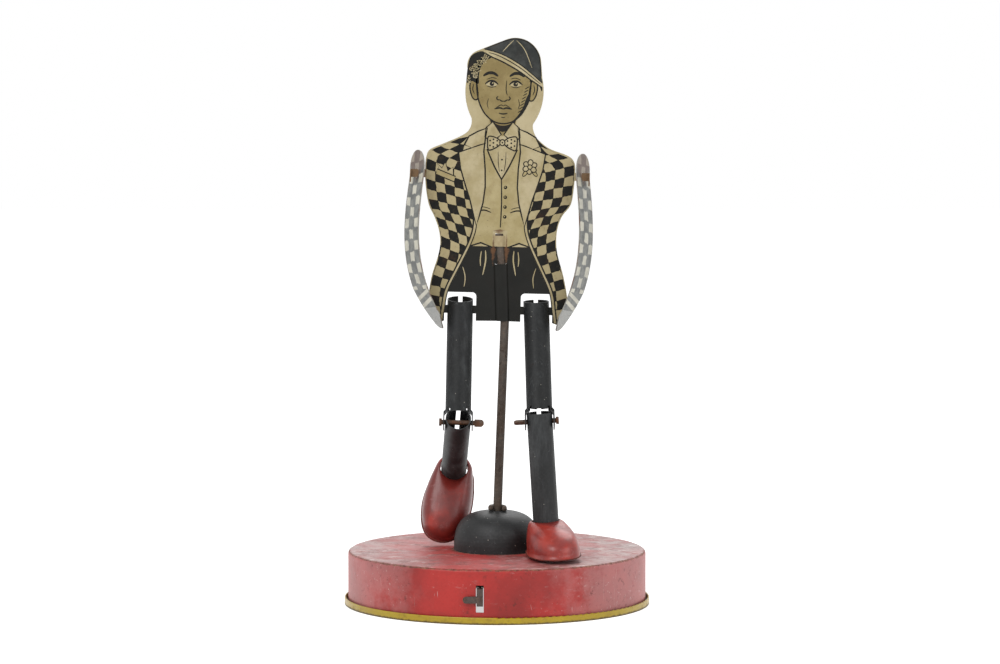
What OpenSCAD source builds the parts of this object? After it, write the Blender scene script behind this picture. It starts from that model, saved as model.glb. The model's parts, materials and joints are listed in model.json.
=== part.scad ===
// Tin dancing toy: a flat tin figure with swinging tube legs stands on a rod above a clockwork drum.
// Origin at the centre of the foot ring on the floor, +Z up, the front of the figure faces -Y.

/* [Drum] */
// Outer radius of the drum
drum_r = 67; // [64:1:70]
// Height of the top of the drum above the floor
drum_top_z = 24.2; // [22.5:0.1:26]
// Thickness of the drum's tin
drum_t = 0.5; // [0.4:0.1:0.8]
// Radius of the drum's rolled top edge
drum_edge_r = 1.6; // [0.8:0.1:2.5]
// Height of the foot ring's lip
foot_lip_h = 3.2; // [2:0.1:4]
// Thickness of the foot ring's tin
foot_t = 0.6; // [0.4:0.1:0.8]
// Width of the foot ring's flat
foot_w = 10; // [6:1:14]
// Width of the lever slot in the wall
slot_w = 3.4; // [3:0.1:4.5]
// Height of the lever slot
slot_h = 11.9; // [11:0.1:13]
// Height of the middle of the lever slot
slot_z = 11.2; // [10.5:0.1:11.8]

/* [Dome] */
// Radius of the dome at its foot
dome_r = 19.4; // [18:0.2:20]
// Height of the dome
dome_h = 17.6; // [16:0.2:19]
// Thickness of the dome's tin
dome_t = 0.5; // [0.4:0.1:0.8]
// Fullness of the dome's profile, 2 is an ellipse
dome_full = 2.9; // [2.2:0.1:3.4]

/* [Rod] */
// Diameter of the rod
rod_d = 3.9; // [3.4:0.1:3.9]
// Lean of the rod below the figure, in degrees
rod_lean = 2.2; // [1.8:0.05:2.2]
// Place of the rod across the dome's top
rod_x = 0.25; // [0:0.05:0.4]
// Diameter of the stop clip's wire
clip_d = 2.2; // [1.8:0.1:2.6]

/* [Figure] */
// Thickness of the figure's tin
plate_t = 0.55; // [0.4:0.05:0.8]
// Lean of the figure, in degrees
figure_lean = 1.4; // [0.5:0.1:2]
// Place of the figure's foot edge across the drum
figure_x = 0.5; // [0.4:0.1:1]
// Height of the hanging right shoe above the drum
hang_gap = 2.3; // [2:0.1:4]
// Half width of the figure at the chest
chest_w = 33.4; // [32.5:0.1:33.5]
// Half width of the figure at the waist
waist_w = 26; // [24:0.5:28]
// Half width of the figure at its foot edge
hem_w = 29.4; // [28.8:0.2:30]
// Height of the figure from its foot edge to the top of the cap
figure_h = 126.9; // [126:0.1:129]
// Half width of the head
head_w = 17.5; // [17:0.1:18]
// Depth of the bead pressed forward over the rod
bead_out = 2.5; // [2.5:0.05:2.8]

/* [Arms] */
// Width of an arm strip
arm_w = 15; // [13:0.5:15]
// Thickness of an arm strip
arm_t = 0.5; // [0.4:0.05:0.7]
// Radius of the hand's end
hand_r = 3.2; // [2.2:0.1:3.6]
// Length of an arm below its pivot
arm_drop = 69; // [64:1:72]
// Distance of the left arm's pivot from the middle of the figure
left_arm_x = 37.7; // [37.6:0.1:38.5]
// Distance of the right arm's pivot from the middle of the figure
right_arm_x = 36.3; // [36:0.1:37.5]
// Height of the shoulder pivots above the figure's foot edge
shoulder_up = 65.5; // [63:0.5:67]
// Turn of the left arm's face towards the front, in degrees
left_arm_turn = 25; // [20:1:25]
// Turn of the right arm's face towards the front, in degrees
right_arm_turn = 24; // [18:1:25]
// Forward hang of an arm at rest, in degrees
arm_hang = 8; // [8:0.5:12]
// Outward slope of an arm at its pivot
arm_flare = 0.126; // [0.1:0.002:0.15]
// Strength of the left arm's inward hook
left_arm_hook = 0.00007; // [0.00005:0.000005:0.00008]
// Strength of the right arm's inward hook
right_arm_hook = 0.00006; // [0.00005:0.000005:0.00007]

/* [Legs] */
// Outer diameter of the leg tubes
tube_d = 11.5; // [11:0.1:11.8]
// Thickness of the leg tubes' tin
tube_t = 0.45; // [0.35:0.05:0.6]
// Width of the open seam along the back of a tube
seam_w = 1.9; // [1.2:0.1:2.4]
// Distance of the legs from the middle of the figure
hip_x = 17.1; // [16.9:0.1:17.4]
// Height of the hip pivots above the figure's foot edge
hip_up = 4.9; // [4.5:0.1:5.5]
// Length of a thigh from the hip to the knee
thigh_len = 52; // [51:0.1:53]
// Length of a shin from the knee to the sole
shin_len = 58.4; // [57.4:0.1:59.4]
// Height of the thigh tube above the hip
thigh_over = 4.6; // [4:0.1:4.8]
// Height of the shin tube above the knee
shin_over = 3.9; // [3:0.1:3.9]
// Backward slope of the left shin at rest, in degrees
left_slope = 56; // [55.5:0.5:58]
// Forward swing of the left thigh at rest, in degrees
left_swing = 18; // [17:0.5:19]
// Forward swing of the right thigh at rest, in degrees
right_swing = 24; // [22:0.2:25]
// Diameter of the knee pins
knee_pin_d = 2.2; // [1.8:0.1:2.6]

/* [Shoes] */
// Half width of a shoe at its ball
ball_w = 11.3; // [11:0.1:12]
// Half width of a shoe at its toe
toe_w = 9.4; // [9:0.1:9.6]
// Half width of a shoe at its heel
heel_w = 9.2; // [8.8:0.1:9.6]
// Height of a shoe at the ankle
shoe_h = 14.2; // [13:0.1:15]
// Height of a shoe at its toe
toe_h = 9.2; // [8.8:0.1:9.6]
// Thickness of a shoe's tin
shoe_t = 0.5; // [0.4:0.05:0.6]
// Width of the flange round the sole
flange_w = 0.8; // [0.5:0.1:1.2]

/* [Clockwork] */
// Module of the wheels' teeth
gear_m = 0.6; // [0.56:0.01:0.61]
// Number of teeth on a wheel
wheel_n = 30; // [30:1:30]
// Number of teeth on a pinion
pinion_n = 10; // [10:1:10]
// Height of the arbors above the floor
arbor_z = 11.5; // [11.3:0.1:12]
// Diameter of the winding arbor
winding_d = 4; // [3:0.2:4]
// Diameter of the second arbor and the cam arbor
arbor_d = 2; // [1.6:0.1:2.2]
// Tip radius of the striker wheel
striker_r = 5.5; // [4.5:0.1:5.8]
// Half span of the winding key
key_w = 9.6; // [8:0.2:10]
// Thickness of the clockwork plates
frame_t = 0.8; // [0.6:0.1:1.2]
// Thickness of the mainspring
spring_t = 0.4; // [0.3:0.05:0.5]
// Turns of the mainspring
spring_turns = 5; // [4:1:6]

/* [Start lever] */
// Height of the start lever's strip
lever_h = 3; // [2.4:0.1:3.6]
// Thickness of the start lever's strip
lever_t = 0.8; // [0.6:0.1:1]
// Reach of the thumb tab along the wall
thumb_w = 7.5; // [6.5:0.1:9]

/* [Hidden] */
$fn = 64;
big = 200;
// Clearance between pieces that are fixed to each other
seat = 0.02;
// Running clearance all round
run = 0.06;
// Loose clearance of tin on tin
slack = 0.3;
tin_red = [0.62, 0.13, 0.12];
tin_yellow = [0.75, 0.65, 0.16];
tin_black = [0.16, 0.17, 0.18];
tin_cream = [0.78, 0.72, 0.56];
tin_grey = [0.66, 0.66, 0.6];
rust_brown = [0.36, 0.24, 0.17];
plain_steel = [0.55, 0.55, 0.55];
wheel_brass = [0.72, 0.6, 0.32];
// Drum and foot ring
foot_r = drum_r + 1 + foot_t;
drum_under_z = drum_top_z - drum_t;
slot_x = -7.4;
// Dome tabs, one of them at the front left
dome_tab_angles = [233, 353, 113];
dome_tab_w = 3.4;
dome_tab_t = 0.65;
dome_tab_x = dome_r - dome_tab_t - 0.15;
// Angles of each leg: tilt of the thigh, swing, tilt of the pin, bend, lean of the shin, turn of the
// shoe, turn of the pin's paddle
right_toe_down = 1;
leg_left = [-0.4, -left_swing, 0.8, left_swing + left_slope, 2, -10, -50];
leg_right = [-2.8, -right_swing, -2.2, right_swing + right_toe_down, -0.4, 10, 60];
// Height of the figure's foot edge, from which its legs hang to the drum
figure_z = drum_top_z + hang_gap + shin_len * cos(right_toe_down) + thigh_len * cos(right_swing) - hip_up;
// Rod, from its foot above the striker wheel to its bend at the figure's foot edge
dome_top_z = drum_top_z + dome_h;
rod_foot_z = arbor_z + striker_r + slack;
rod_bend_up = 1.5;
rod_bend_x = rod_x + (figure_z + rod_bend_up - dome_top_z) * tan(rod_lean);
rod_bend_in_x = (rod_bend_x - figure_x) * cos(figure_lean) - rod_bend_up * sin(figure_lean);
// Figure frame
plate_y = -1.2;
plate_front_y = plate_y - plate_t / 2;
plate_back_y = plate_y + plate_t / 2;
window_z = 26;
strap_z = 33.5;
slit_z = 38.3;
slit_h = 0.8;
rod_top_in_x = -0.4;
rod_tip_up = slit_z + slit_h - seat;
window_w = 2 * sqrt(pow(rod_d / 2, 2) - pow(plate_back_y, 2)) + 4 * seat;
bead_foot_x = 1.95;
bead_top_x = 0.5;
bead_half = 1.15;
strap_half = 0.5;
// Hip and shoulder tongues
tongue_h = 3.6;
tongue_hole_d = 4.1;
notch_w = tube_d + 2.7;
notch_up = hip_up + 7.7;
// Knee
hip_rim_slope = 26;
knee_front_cut = 4.3;
knee_back_cut = 7.4;
ear_over = 3;
ear_w = 7;
ear_t = tube_t + 0.05;
ear_in = tube_d / 2 + 0.35;
ear_shoulder = 4;
// Shoe
toe_y = -21.6;
ball_y = -11;
heel_y = 0.4;
leaf = 0.02;
// Place along the shoe, half width, height and rounding of its heel, ball and toe
shoe_posts = [
  [heel_y, heel_w, shoe_h, 3.4],
  [ball_y, ball_w, (shoe_h + toe_h) / 2, 7],
  [toe_y, toe_w, toe_h, 7]
];
throat_r = 6.8;
throat_y = throat_r - tube_d / 2 - slack;
// Heel rivets, which stand to the sides of the shin's open seam
rivet_d = 1.8;
rivet_z = 3.4;
rivet_turn = 28;
// Clockwork
wheel_r = gear_m * wheel_n / 2;
pinion_r = gear_m * pinion_n / 2;
gear_gap = wheel_r + pinion_r;
cam_x = 0;
second_x = cam_x + gear_gap;
winding_x = second_x + gear_gap;
front_plate_y = 6;
low_wheel_y = 8;
high_wheel_y = 12;
wheel_t = 1.2;
spring_y = 17;
spring_w = 8;
back_plate_y = 27;
spring_post_x = winding_x + 11.2;
spring_post_r = 1.2;
frame_left_x = cam_x - 3.4;
frame_right_x = spring_post_x + 2.6;
pillar_left_x = cam_x - 1.6;
pillar_low_z = 4.2;
pillar_high_z = 18.8;
key_wall_y = sqrt(pow(drum_r, 2) - pow(winding_x, 2));
key_y = key_wall_y + 1.6;
key_stem_l = 9;
click_r = 7.2;
click_angle = 90;
ratchet_r = 5;
ratchet_n = 12;
click_y = high_wheel_y + wheel_t + 0.1;
click_t = 0.9;
click_rivet_d = 1.2;
spring_foot_angle = 165;
// Teeth: pressure angle, heights above and below the pitch circle in modules, and play at each flank
pressure = 25;
tooth_tip = 0.78;
tooth_root = 1.02;
flank_play = 0.07;
// Start lever
lever_pin_y = -30;
lever_pin_d = 1.6;
lever_head_h = 7.6;
lever_head_up = 0.6;
thumb_down = 0.3;
bracket_in = 2.6;

// Frames

module in_figure() {
  translate([figure_x, 0, figure_z]) rotate([0, figure_lean, 0]) children();
}

module at_thigh(side, leg) {
  in_figure() translate([side * hip_x, plate_y, hip_up])
    rotate([leg[1], 0, 0]) rotate([0, leg[0], 0]) children();
}

module at_shin(side, leg) {
  at_thigh(side, leg) translate([0, 0, -thigh_len])
    rotate([0, leg[2], 0]) rotate([leg[3], 0, 0]) rotate([0, leg[4], 0]) children();
}

module at_shoe(side, leg) {
  at_shin(side, leg) translate([0, 0, -shin_len]) rotate([0, 0, leg[5]]) children();
}

// A cylinder along X, centred
module across(d, l) {
  rotate([0, 90, 0]) cylinder(d = d, h = l, center = true);
}

// A cylinder along +Y from the origin
module along(d, l) {
  rotate([-90, 0, 0]) cylinder(d = d, h = l);
}

// A flat shape drawn in X and Z, standing t thick with its front at y
module standing(y, t) {
  translate([0, y + t, 0]) rotate([90, 0, 0]) linear_extrude(t) children();
}

// Drum

module drum_profile(grow) {
  r = drum_r - grow;
  top = drum_top_z - grow;
  e = drum_edge_r - grow;
  square([r - e, top]);
  square([r, top - e]);
  translate([r - e, top - e]) circle(e);
}

module drum() {
  color(tin_red) difference() {
    rotate_extrude($fn = 128) intersection() {
      difference() {
        drum_profile(0);
        drum_profile(drum_t);
      }
      translate([0, foot_t]) square([drum_r, drum_top_z]);
    }
    translate([slot_x - slot_w / 2, -drum_r - 1, slot_z - slot_h / 2]) cube([slot_w, 10, slot_h]);
    translate([winding_x, 0, arbor_z]) along(winding_d + 4 * slack, drum_r);
    rod_line() cylinder(d = rod_d + 3 * slack, h = big, center = true);
    for (a = dome_tab_angles) rotate([0, 0, a])
      translate([dome_tab_x - slack / 2, -dome_tab_w / 2 - slack / 2, drum_under_z - 1])
        cube([dome_tab_t + slack, dome_tab_w + slack, 3]);
  }
}

module foot_ring() {
  color(tin_yellow) rotate_extrude($fn = 128) {
    translate([foot_r - foot_w, 0]) square([foot_w, foot_t]);
    translate([foot_r - foot_t, 0]) square([foot_t, foot_lip_h - foot_t / 2]);
    translate([foot_r - foot_t / 2, foot_lip_h - foot_t / 2]) circle(foot_t / 2);
  }
}

// Dome

function dome_point(r, h, a) =
  [r * pow(cos(a), 2 / dome_full), h * pow(sin(a), 2 / dome_full)];

module dome_shape(r, h) {
  polygon(concat([[0, 0]], [for (a = [0 : 5 : 90]) dome_point(r, h, a)]));
}

module dome() {
  tab_l = drum_t + 1.4;
  color(tin_black) {
    difference() {
      translate([0, 0, drum_top_z]) rotate_extrude() difference() {
        dome_shape(dome_r, dome_h);
        dome_shape(dome_r - dome_t, dome_h - dome_t);
      }
      rod_line() cylinder(d = rod_d + 2 * slack, h = big, center = true);
    }
    for (a = dome_tab_angles) rotate([0, 0, a])
      translate([dome_tab_x, -dome_tab_w / 2, drum_top_z - tab_l]) {
        cube([dome_tab_t, dome_tab_w, tab_l + 0.6]);
        translate([-2.2, 0, 0]) cube([2.3, dome_tab_w, dome_t]);
      }
  }
}

// Rod and its stop clip

module rod_line() {
  translate([rod_x, 0, dome_top_z]) rotate([0, rod_lean, 0]) children();
}

module rod() {
  bend = [rod_bend_x, 0, figure_z + rod_bend_up];
  foot_x = rod_x - (dome_top_z - rod_foot_z) * tan(rod_lean);
  low_l = (bend[2] - rod_foot_z) / cos(rod_lean);
  tip_x = figure_x + rod_tip_up * sin(figure_lean) + rod_top_in_x;
  tip_z = figure_z + rod_tip_up * cos(figure_lean);
  high_lean = atan2(tip_x - bend[0], tip_z - bend[2]);
  short = 0.1;
  color(rust_brown) {
    translate([foot_x, 0, rod_foot_z]) rotate([0, rod_lean, 0]) cylinder(d = rod_d, h = low_l - short);
    translate(bend) sphere(d = rod_d + 0.1);
    translate(bend) rotate([0, high_lean, 0]) translate([0, 0, short])
      cylinder(d = rod_d, h = norm([tip_x - bend[0], tip_z - bend[2]]) - short);
  }
}

// A hairpin of wire whose two round ends point forward on either side of the rod
module rod_stop_clip() {
  r = clip_d / 2;
  reach = rod_d / 2 + r + seat;
  color(rust_brown) rod_line() translate([0, 0, r + 0.25]) {
    for (s = [-1, 1]) translate([s * reach, 0, 0]) {
      translate([0, -3.4, 0]) along(clip_d, 3.4);
      translate([0, -3.4, 0]) sphere(r = r + 0.1);
    }
    rotate_extrude(angle = 180) translate([reach, 0]) circle(r);
  }
}

// Figure plate

// A point at the share t of the way from b to c, on a smooth curve through a, b, c and d
function between(a, b, c, d, t) =
  b + t * (c - a) / 2 + t * t * (a - 2.5 * b + 2 * c - d / 2) + t * t * t * (1.5 * (b - c) + (d - a) / 2);

function smooth(p, steps = 4) = concat(
  [for (i = [0 : len(p) - 2]) for (j = [0 : steps - 1])
    between(p[max(i - 1, 0)], p[i], p[i + 1], p[min(i + 2, len(p) - 1)], j / steps)],
  [p[len(p) - 1]]
);

// The coat's edges from the hem to the neck; the left one stands further out and higher
left_coat = [
  [hem_w, 0.6],
  [hem_w + 1.9, 9],
  [hem_w + 0.9, 19],
  [waist_w + 1.6, 28.5],
  [waist_w + 0.7, 34.5],
  [waist_w + 1.5, 40.5],
  [waist_w + 3.6, 46.2],
  [chest_w - 1.1, 51.8],
  [chest_w + 0.5, 61],
  [chest_w + 0.8, 69],
  [chest_w + 0.3, 73.5],
  [chest_w - 1.4, 76.4],
  [25.4, 79.4],
  [19, 82.3],
  [15.3, 85],
  [13.9, 89],
  [14.8, 94]
];
right_coat = [
  [hem_w, 0.6],
  [hem_w + 1.5, 9],
  [hem_w - 0.4, 20],
  [waist_w - 0.1, 30.5],
  [waist_w - 0.8, 37],
  [waist_w - 0.3, 42.5],
  [waist_w + 1.6, 47.8],
  [chest_w - 2.1, 53],
  [chest_w - 0.9, 61],
  [chest_w - 0.5, 69],
  [chest_w - 1.5, 72.8],
  [chest_w - 4.6, 75.1],
  [21.5, 77.6],
  [17.3, 80.5],
  [14.7, 83.4],
  [13.4, 87.8],
  [15, 92.5]
];

module body_half(edge) {
  polygon(concat(
    [[0, 0], [hip_x + notch_w / 2, -0.4], [hem_w - 2.4, -1.4]],
    smooth(edge),
    [[0, 97]]
  ));
}

// The head stands on the neck, with a soft cap worn high on the right
module head_outline() {
  cap_r = 11.5;
  translate([0.4, 103]) scale([1, 1.24]) circle(head_w);
  hull() {
    translate([5, figure_h - cap_r]) circle(cap_r);
    translate([-9.4, figure_h - 12.7]) circle(7.1);
    translate([6.1, figure_h - 22]) circle(head_w - 6.1);
  }
}

module figure_outline() {
  mirror([1, 0]) body_half(left_coat);
  body_half(right_coat);
  head_outline();
}

module notches() {
  round_r = 1.8;
  for (s = [-1, 1]) translate([s * hip_x, 0]) {
    translate([-notch_w / 2, -10]) square([notch_w, notch_up + 10 - round_r]);
    translate([-notch_w / 2 + round_r, 0]) square([notch_w - 2 * round_r, notch_up]);
    for (c = [-1, 1]) translate([c * (notch_w / 2 - round_r), notch_up - round_r]) circle(round_r);
  }
}

module tongues() {
  reach = (notch_w - tube_d) / 2 + 1.2;
  for (s = [-1, 1]) translate([s * hip_x, hip_up]) for (c = [-1, 1])
    translate([c * (notch_w / 2 - reach / 2 + 0.2), 0]) square([reach + 0.4, tongue_h], center = true);
}

// The channel that the bead and the strap are pressed to, as a rounded arch towards the front
module arch(half, r, up) {
  linear_extrude(up) {
    for (s = [-1, 1]) translate([s * half, 0]) circle(r);
    square([2 * half, 2 * r], center = true);
  }
}

// Slopes the bead so that it follows the rod
module bead_frame() {
  translate([bead_foot_x, 0, 0]) rotate([0, atan2(bead_top_x - bead_foot_x, window_z), 0]) children();
}

// Each tab turns down outside its arm, where the swinging strip doesn't touch it
module shoulder_tabs() {
  for (s = [-1, 1]) translate([0, plate_y, shoulder_up]) {
    out = arm_x(s) + 4.1 * tan(arm_turn(s)) + arm_t + slack;
    root = chest_w - 2;
    translate([s * (root + out) / 2, 0, 0]) cube([out - root, plate_t, tongue_h], center = true);
    translate([s * (out + plate_t / 2), 0, -1.1]) cube([plate_t, 2.6, tongue_h + 2.2], center = true);
  }
}

// Sideways place of the rod on the plate
function rod_in_x(up) = rod_bend_in_x
  + (rod_top_in_x - rod_bend_in_x) * (up - rod_bend_up) / (rod_tip_up - rod_bend_up);

module window(low, high) {
  polygon([
    for (s = [-1, 1]) [rod_in_x(low) + s * window_w / 2, low],
    for (s = [1, -1]) [rod_in_x(high) + s * window_w / 2, high]
  ]);
}

module figure_plate() {
  wall = plate_t - 0.1;
  color(tin_cream) in_figure() {
    difference() {
      union() {
        standing(plate_front_y, plate_t) difference() {
          figure_outline();
          notches();
          window(window_z - 0.5, strap_z);
          window(slit_z, rod_tip_up + 8 * seat);
        }
        intersection() {
          union() {
            bead_frame() arch(bead_half, bead_out, window_z - 0.4);
            translate([rod_top_in_x, 0, strap_z]) arch(strap_half, bead_out, slit_z - strap_z);
          }
          translate([-10, -10, 0]) cube([20, 10 + plate_back_y, slit_z]);
        }
      }
      bead_frame() translate([0, 0, -2]) arch(bead_half, bead_out - wall, window_z + 1.7);
      translate([rod_top_in_x, 0, strap_z - 0.1])
        arch(strap_half, bead_out - wall, slit_z - strap_z + 0.2);
    }
    standing(plate_front_y, plate_t) tongues();
    shoulder_tabs();
  }
}

// Arms

function arm_x(side) = side < 0 ? left_arm_x : right_arm_x;
function arm_turn(side) = side < 0 ? left_arm_turn : right_arm_turn;
function arm_hook(side) = side < 0 ? left_arm_hook : right_arm_hook;

// How far out an arm stands from its pivot, at u below it
function bow(side, u) = u < 0 ? 0 : arm_flare * u - arm_hook(side) * pow(u, 3);

module arm_face() {
  hull() {
    translate([0, 2.9]) circle(arm_w / 2);
    translate([0, -arm_drop + 18]) square([arm_w, 1], center = true);
  }
  hull() {
    translate([0, -arm_drop + 18]) square([arm_w, 1], center = true);
    translate([-1.2, -arm_drop + 6]) square([arm_w - 4, 1], center = true);
    translate([0.4, -arm_drop + hand_r]) circle(hand_r);
  }
}

module arm(side) {
  step = 3;
  top = -11;
  steps = [for (u = [top : step : arm_drop + step]) u];
  in_figure() translate([0, plate_y, shoulder_up]) rotate([-arm_hang, 0, 0]) difference() {
    translate([side * arm_x(side), 0, 0]) rotate([0, 0, -side * arm_turn(side)]) intersection() {
      rotate([90, 0, 0]) linear_extrude(arm_w + 2, center = true) polygon(concat(
        [for (u = steps) [side * (bow(side, u) + arm_t / 2), -u]],
        [for (i = [len(steps) - 1 : -1 : 0]) [side * (bow(side, steps[i]) - arm_t / 2), -steps[i]]]));
      rotate([90, 0, 90]) linear_extrude(60, center = true) arm_face();
    }
    translate([side * arm_x(side), 0, 0]) across(tongue_hole_d, 12);
  }
}

module left_arm() {
  color(tin_grey) arm(-1);
}

module right_arm() {
  color(tin_grey) arm(1);
}

// Legs

// The upper tube: seam at the back, holes for the tongues, and two ears that take the knee pin
module thigh(side, leg) {
  r = tube_d / 2;
  at_thigh(side, leg) difference() {
    union() {
      difference() {
        translate([0, 0, -thigh_len + ear_shoulder])
          cylinder(r = r, h = thigh_len - ear_shoulder + thigh_over + r);
        translate([-seam_w / 2, 0, -thigh_len]) cube([seam_w, tube_d, thigh_len + 20]);
      }
      translate([0, 0, -thigh_len]) ears(ear_in + ear_t, ear_shoulder + 0.2, 2.1, 2.5, ear_over, ear_w);
    }
    translate([0, 0, -thigh_len - 20]) cylinder(r = r - tube_t, h = thigh_len + 40);
    translate([0, 0, -thigh_len]) ears(ear_in, ear_shoulder - 0.1, 2, 2.2, 10, ear_w + 2);
    translate([-tube_d, -tube_d, -thigh_len - 10])
      cube([2 * tube_d, tube_d - ear_w / 2, 10 + knee_front_cut]);
    translate([-tube_d, ear_w / 2, -thigh_len - 10]) cube([2 * tube_d, tube_d, 10 + knee_back_cut]);
    translate([0, 0, thigh_over]) rotate([hip_rim_slope, 0, 0]) translate([-tube_d, -tube_d, 0])
      cube(2 * tube_d);
    rotate([0, -leg[0], 0]) across(tongue_hole_d, tube_d + 4);
    translate([0, 0, -thigh_len]) rotate([0, leg[2], 0]) across(knee_pin_d + 2 * run, tube_d + 8);
  }
}

// The flat cheeks at the foot of the thigh: a block of half width x that narrows by dx over dz above z
module ears(x, z, dx, dz, under, w) {
  rotate([90, 0, 0]) linear_extrude(w, center = true)
    polygon([[-x, -under], [x, -under], [x, z], [x - dx, z + dz], [dx - x, z + dz], [-x, z]]);
}

module left_thigh() {
  color(tin_black) thigh(-1, leg_left);
}

module right_thigh() {
  color(tin_black) thigh(1, leg_right);
}

module shin(side, leg) {
  r = tube_d / 2 - 0.05;
  foot_gap = 1.2;
  at_shin(side, leg) difference() {
    translate([0, 0, -shin_len + foot_gap]) difference() {
      cylinder(r = r, h = shin_len - foot_gap + shin_over);
      translate([0, 0, -1]) cylinder(r = r - tube_t, h = shin_len + 20);
    }
    translate([-seam_w / 2, 0, -shin_len - 1]) cube([seam_w, tube_d, shin_len + 20]);
    rotate([0, -leg[4], 0]) across(knee_pin_d + 2 * seat, tube_d + 4);
    translate([0, 0, -shin_len]) rotate([0, 0, leg[5]]) rivet_hole();
  }
}

module left_shin() {
  color(tin_black) shin(-1, leg_left);
}

module right_shin() {
  color(tin_black) shin(1, leg_right);
}

// A pin with a small head outside the leg and a flat paddle towards the middle
module knee_pin(side, leg) {
  head_x = tube_d / 2 + 1.6;
  paddle_l = 2.6;
  at_shin(side, leg) rotate([0, -leg[4], 0]) {
    across(knee_pin_d, 2 * head_x);
    translate([side * (head_x + 0.5), 0, 0]) across(knee_pin_d + 1.2, 1.2);
    translate([-side * (head_x + paddle_l / 2), 0, 0]) rotate([leg[6], 0, 0]) {
      cube([paddle_l, 1.1, knee_pin_d + 1], center = true);
      translate([-side * paddle_l / 2, 0, 0]) rotate([90, 0, 0])
        cylinder(d = knee_pin_d + 1, h = 1.1, center = true);
    }
  }
}

module left_knee_pin() {
  color(rust_brown) knee_pin(-1, leg_left);
}

module right_knee_pin() {
  color(rust_brown) knee_pin(1, leg_right);
}

// Shoes

module shoe_slice(y, r, up) {
  translate([0, y, up]) cylinder(r = r, h = leaf, $fn = 32);
}

// The form of a shoe's shell, or of its hollow where thin is the tin: upright walls and a rounded top
module shoe_body(thin) {
  steps = 5;
  hull() for (p = shoe_posts) {
    shoe_slice(p[0], p[1] - thin, 0);
    for (i = [0:steps]) {
      inset = thin + p[3] * (1 - cos(90 * i / steps));
      below = thin + leaf + p[3] * (1 - sin(90 * i / steps));
      shoe_slice(p[0], p[1] - inset, p[2] - below);
    }
  }
}

module sole_outline(grow) {
  hull() for (p = shoe_posts) translate([0, p[0]]) circle(p[1] + grow);
}

module shoe(side, leg) {
  at_shoe(side, leg) difference() {
    union() {
      shoe_body(0);
      linear_extrude(shoe_t) sole_outline(flange_w);
    }
    translate([0, 0, -0.01]) shoe_body(shoe_t);
    translate([0, throat_y, 3]) cylinder(r = throat_r, h = 20);
    rivet_hole();
  }
}

module left_shoe() {
  color(tin_red) shoe(-1, leg_left);
}

module right_shoe() {
  color(tin_red) shoe(1, leg_right);
}

module rivet_hole() {
  for (s = [-1, 1]) rotate([0, 0, s * rivet_turn]) translate([0, 0, rivet_z]) along(rivet_d + 2 * seat, 20);
}

// Two rivets that hold the shin in the heel, with a small head inside and out
module shoe_rivet(side, leg) {
  in_y = tube_d / 2 - 1.6;
  at_shoe(side, leg) for (s = [-1, 1]) rotate([0, 0, s * rivet_turn]) translate([0, 0, rivet_z]) {
    translate([0, in_y, 0]) along(rivet_d, heel_y + heel_w + 0.3 - in_y);
    translate([0, in_y, 0]) along(rivet_d + 0.8, 0.9);
  }
}

module left_shoe_rivet() {
  color(rust_brown) shoe_rivet(-1, leg_left);
}

module right_shoe_rivet() {
  color(rust_brown) shoe_rivet(1, leg_right);
}

// Clockwork

function inv_point(rb, t, a) =
  [rb * (cos(a + t) + t * PI / 180 * sin(a + t)), rb * (sin(a + t) - t * PI / 180 * cos(a + t))];

// Turn along the involute at which it reaches the radius r
function inv_turn(rb, r) = r <= rb ? 0 : sqrt(pow(r / rb, 2) - 1) * 180 / PI;

// Angle by which the involute has moved round at the radius r
function inv_angle(rb, r) = inv_turn(rb, r) - acos(rb / r);

// A spur gear's outline with a tooth on the X axis
module gear_outline(n) {
  rp = gear_m * n / 2;
  rb = rp * cos(pressure);
  ra = rp + tooth_tip * gear_m;
  rf = rp - tooth_root * gear_m;
  half = 90 / n - flank_play / rp * 180 / PI + inv_angle(rb, rp);
  t_max = inv_turn(rb, ra);
  polygon([for (i = [0 : n - 1]) each concat(
    [[rf * cos(360 / n * i - half), rf * sin(360 / n * i - half)]],
    [for (k = [0 : 4]) inv_point(rb, t_max * k / 4, 360 / n * i - half)],
    [for (k = [4 : -1 : 0]) let (p = inv_point(rb, t_max * k / 4, -half))
      [p[0] * cos(360 / n * i) + p[1] * sin(360 / n * i), p[0] * sin(360 / n * i) - p[1] * cos(360 / n * i)]],
    [[rf * cos(360 / n * i + half), rf * sin(360 / n * i + half)]])]);
}

// Places a flat wheel on the arbor at x with its front at y
module wheel_at(x, y, t, bore) {
  translate([x, 0, arbor_z]) difference() {
    standing(y, t) children();
    translate([0, y - 1, 0]) along(bore + 2 * seat, t + 2);
  }
}

function rivet_places() =
  [for (a = [click_angle, spring_foot_angle]) [click_r * cos(a), 0, click_r * sin(a)]];

module great_wheel() {
  color(wheel_brass) difference() {
    wheel_at(winding_x, high_wheel_y, wheel_t, winding_d) gear_outline(wheel_n);
    for (p = rivet_places()) translate(p + [winding_x, high_wheel_y - 1, arbor_z])
      along(click_rivet_d + 2 * seat, wheel_t + 2);
  }
}

module ratchet_wheel() {
  tooth_h = 1;
  undercut = 3;
  color(plain_steel) wheel_at(winding_x, click_y, tooth_h, winding_d)
    polygon([for (a = [0 : 360 / ratchet_n : 359]) each
      [ratchet_r * [cos(a), sin(a)], (ratchet_r - tooth_h) * [cos(a + undercut), sin(a + undercut)]]]);
}

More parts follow.
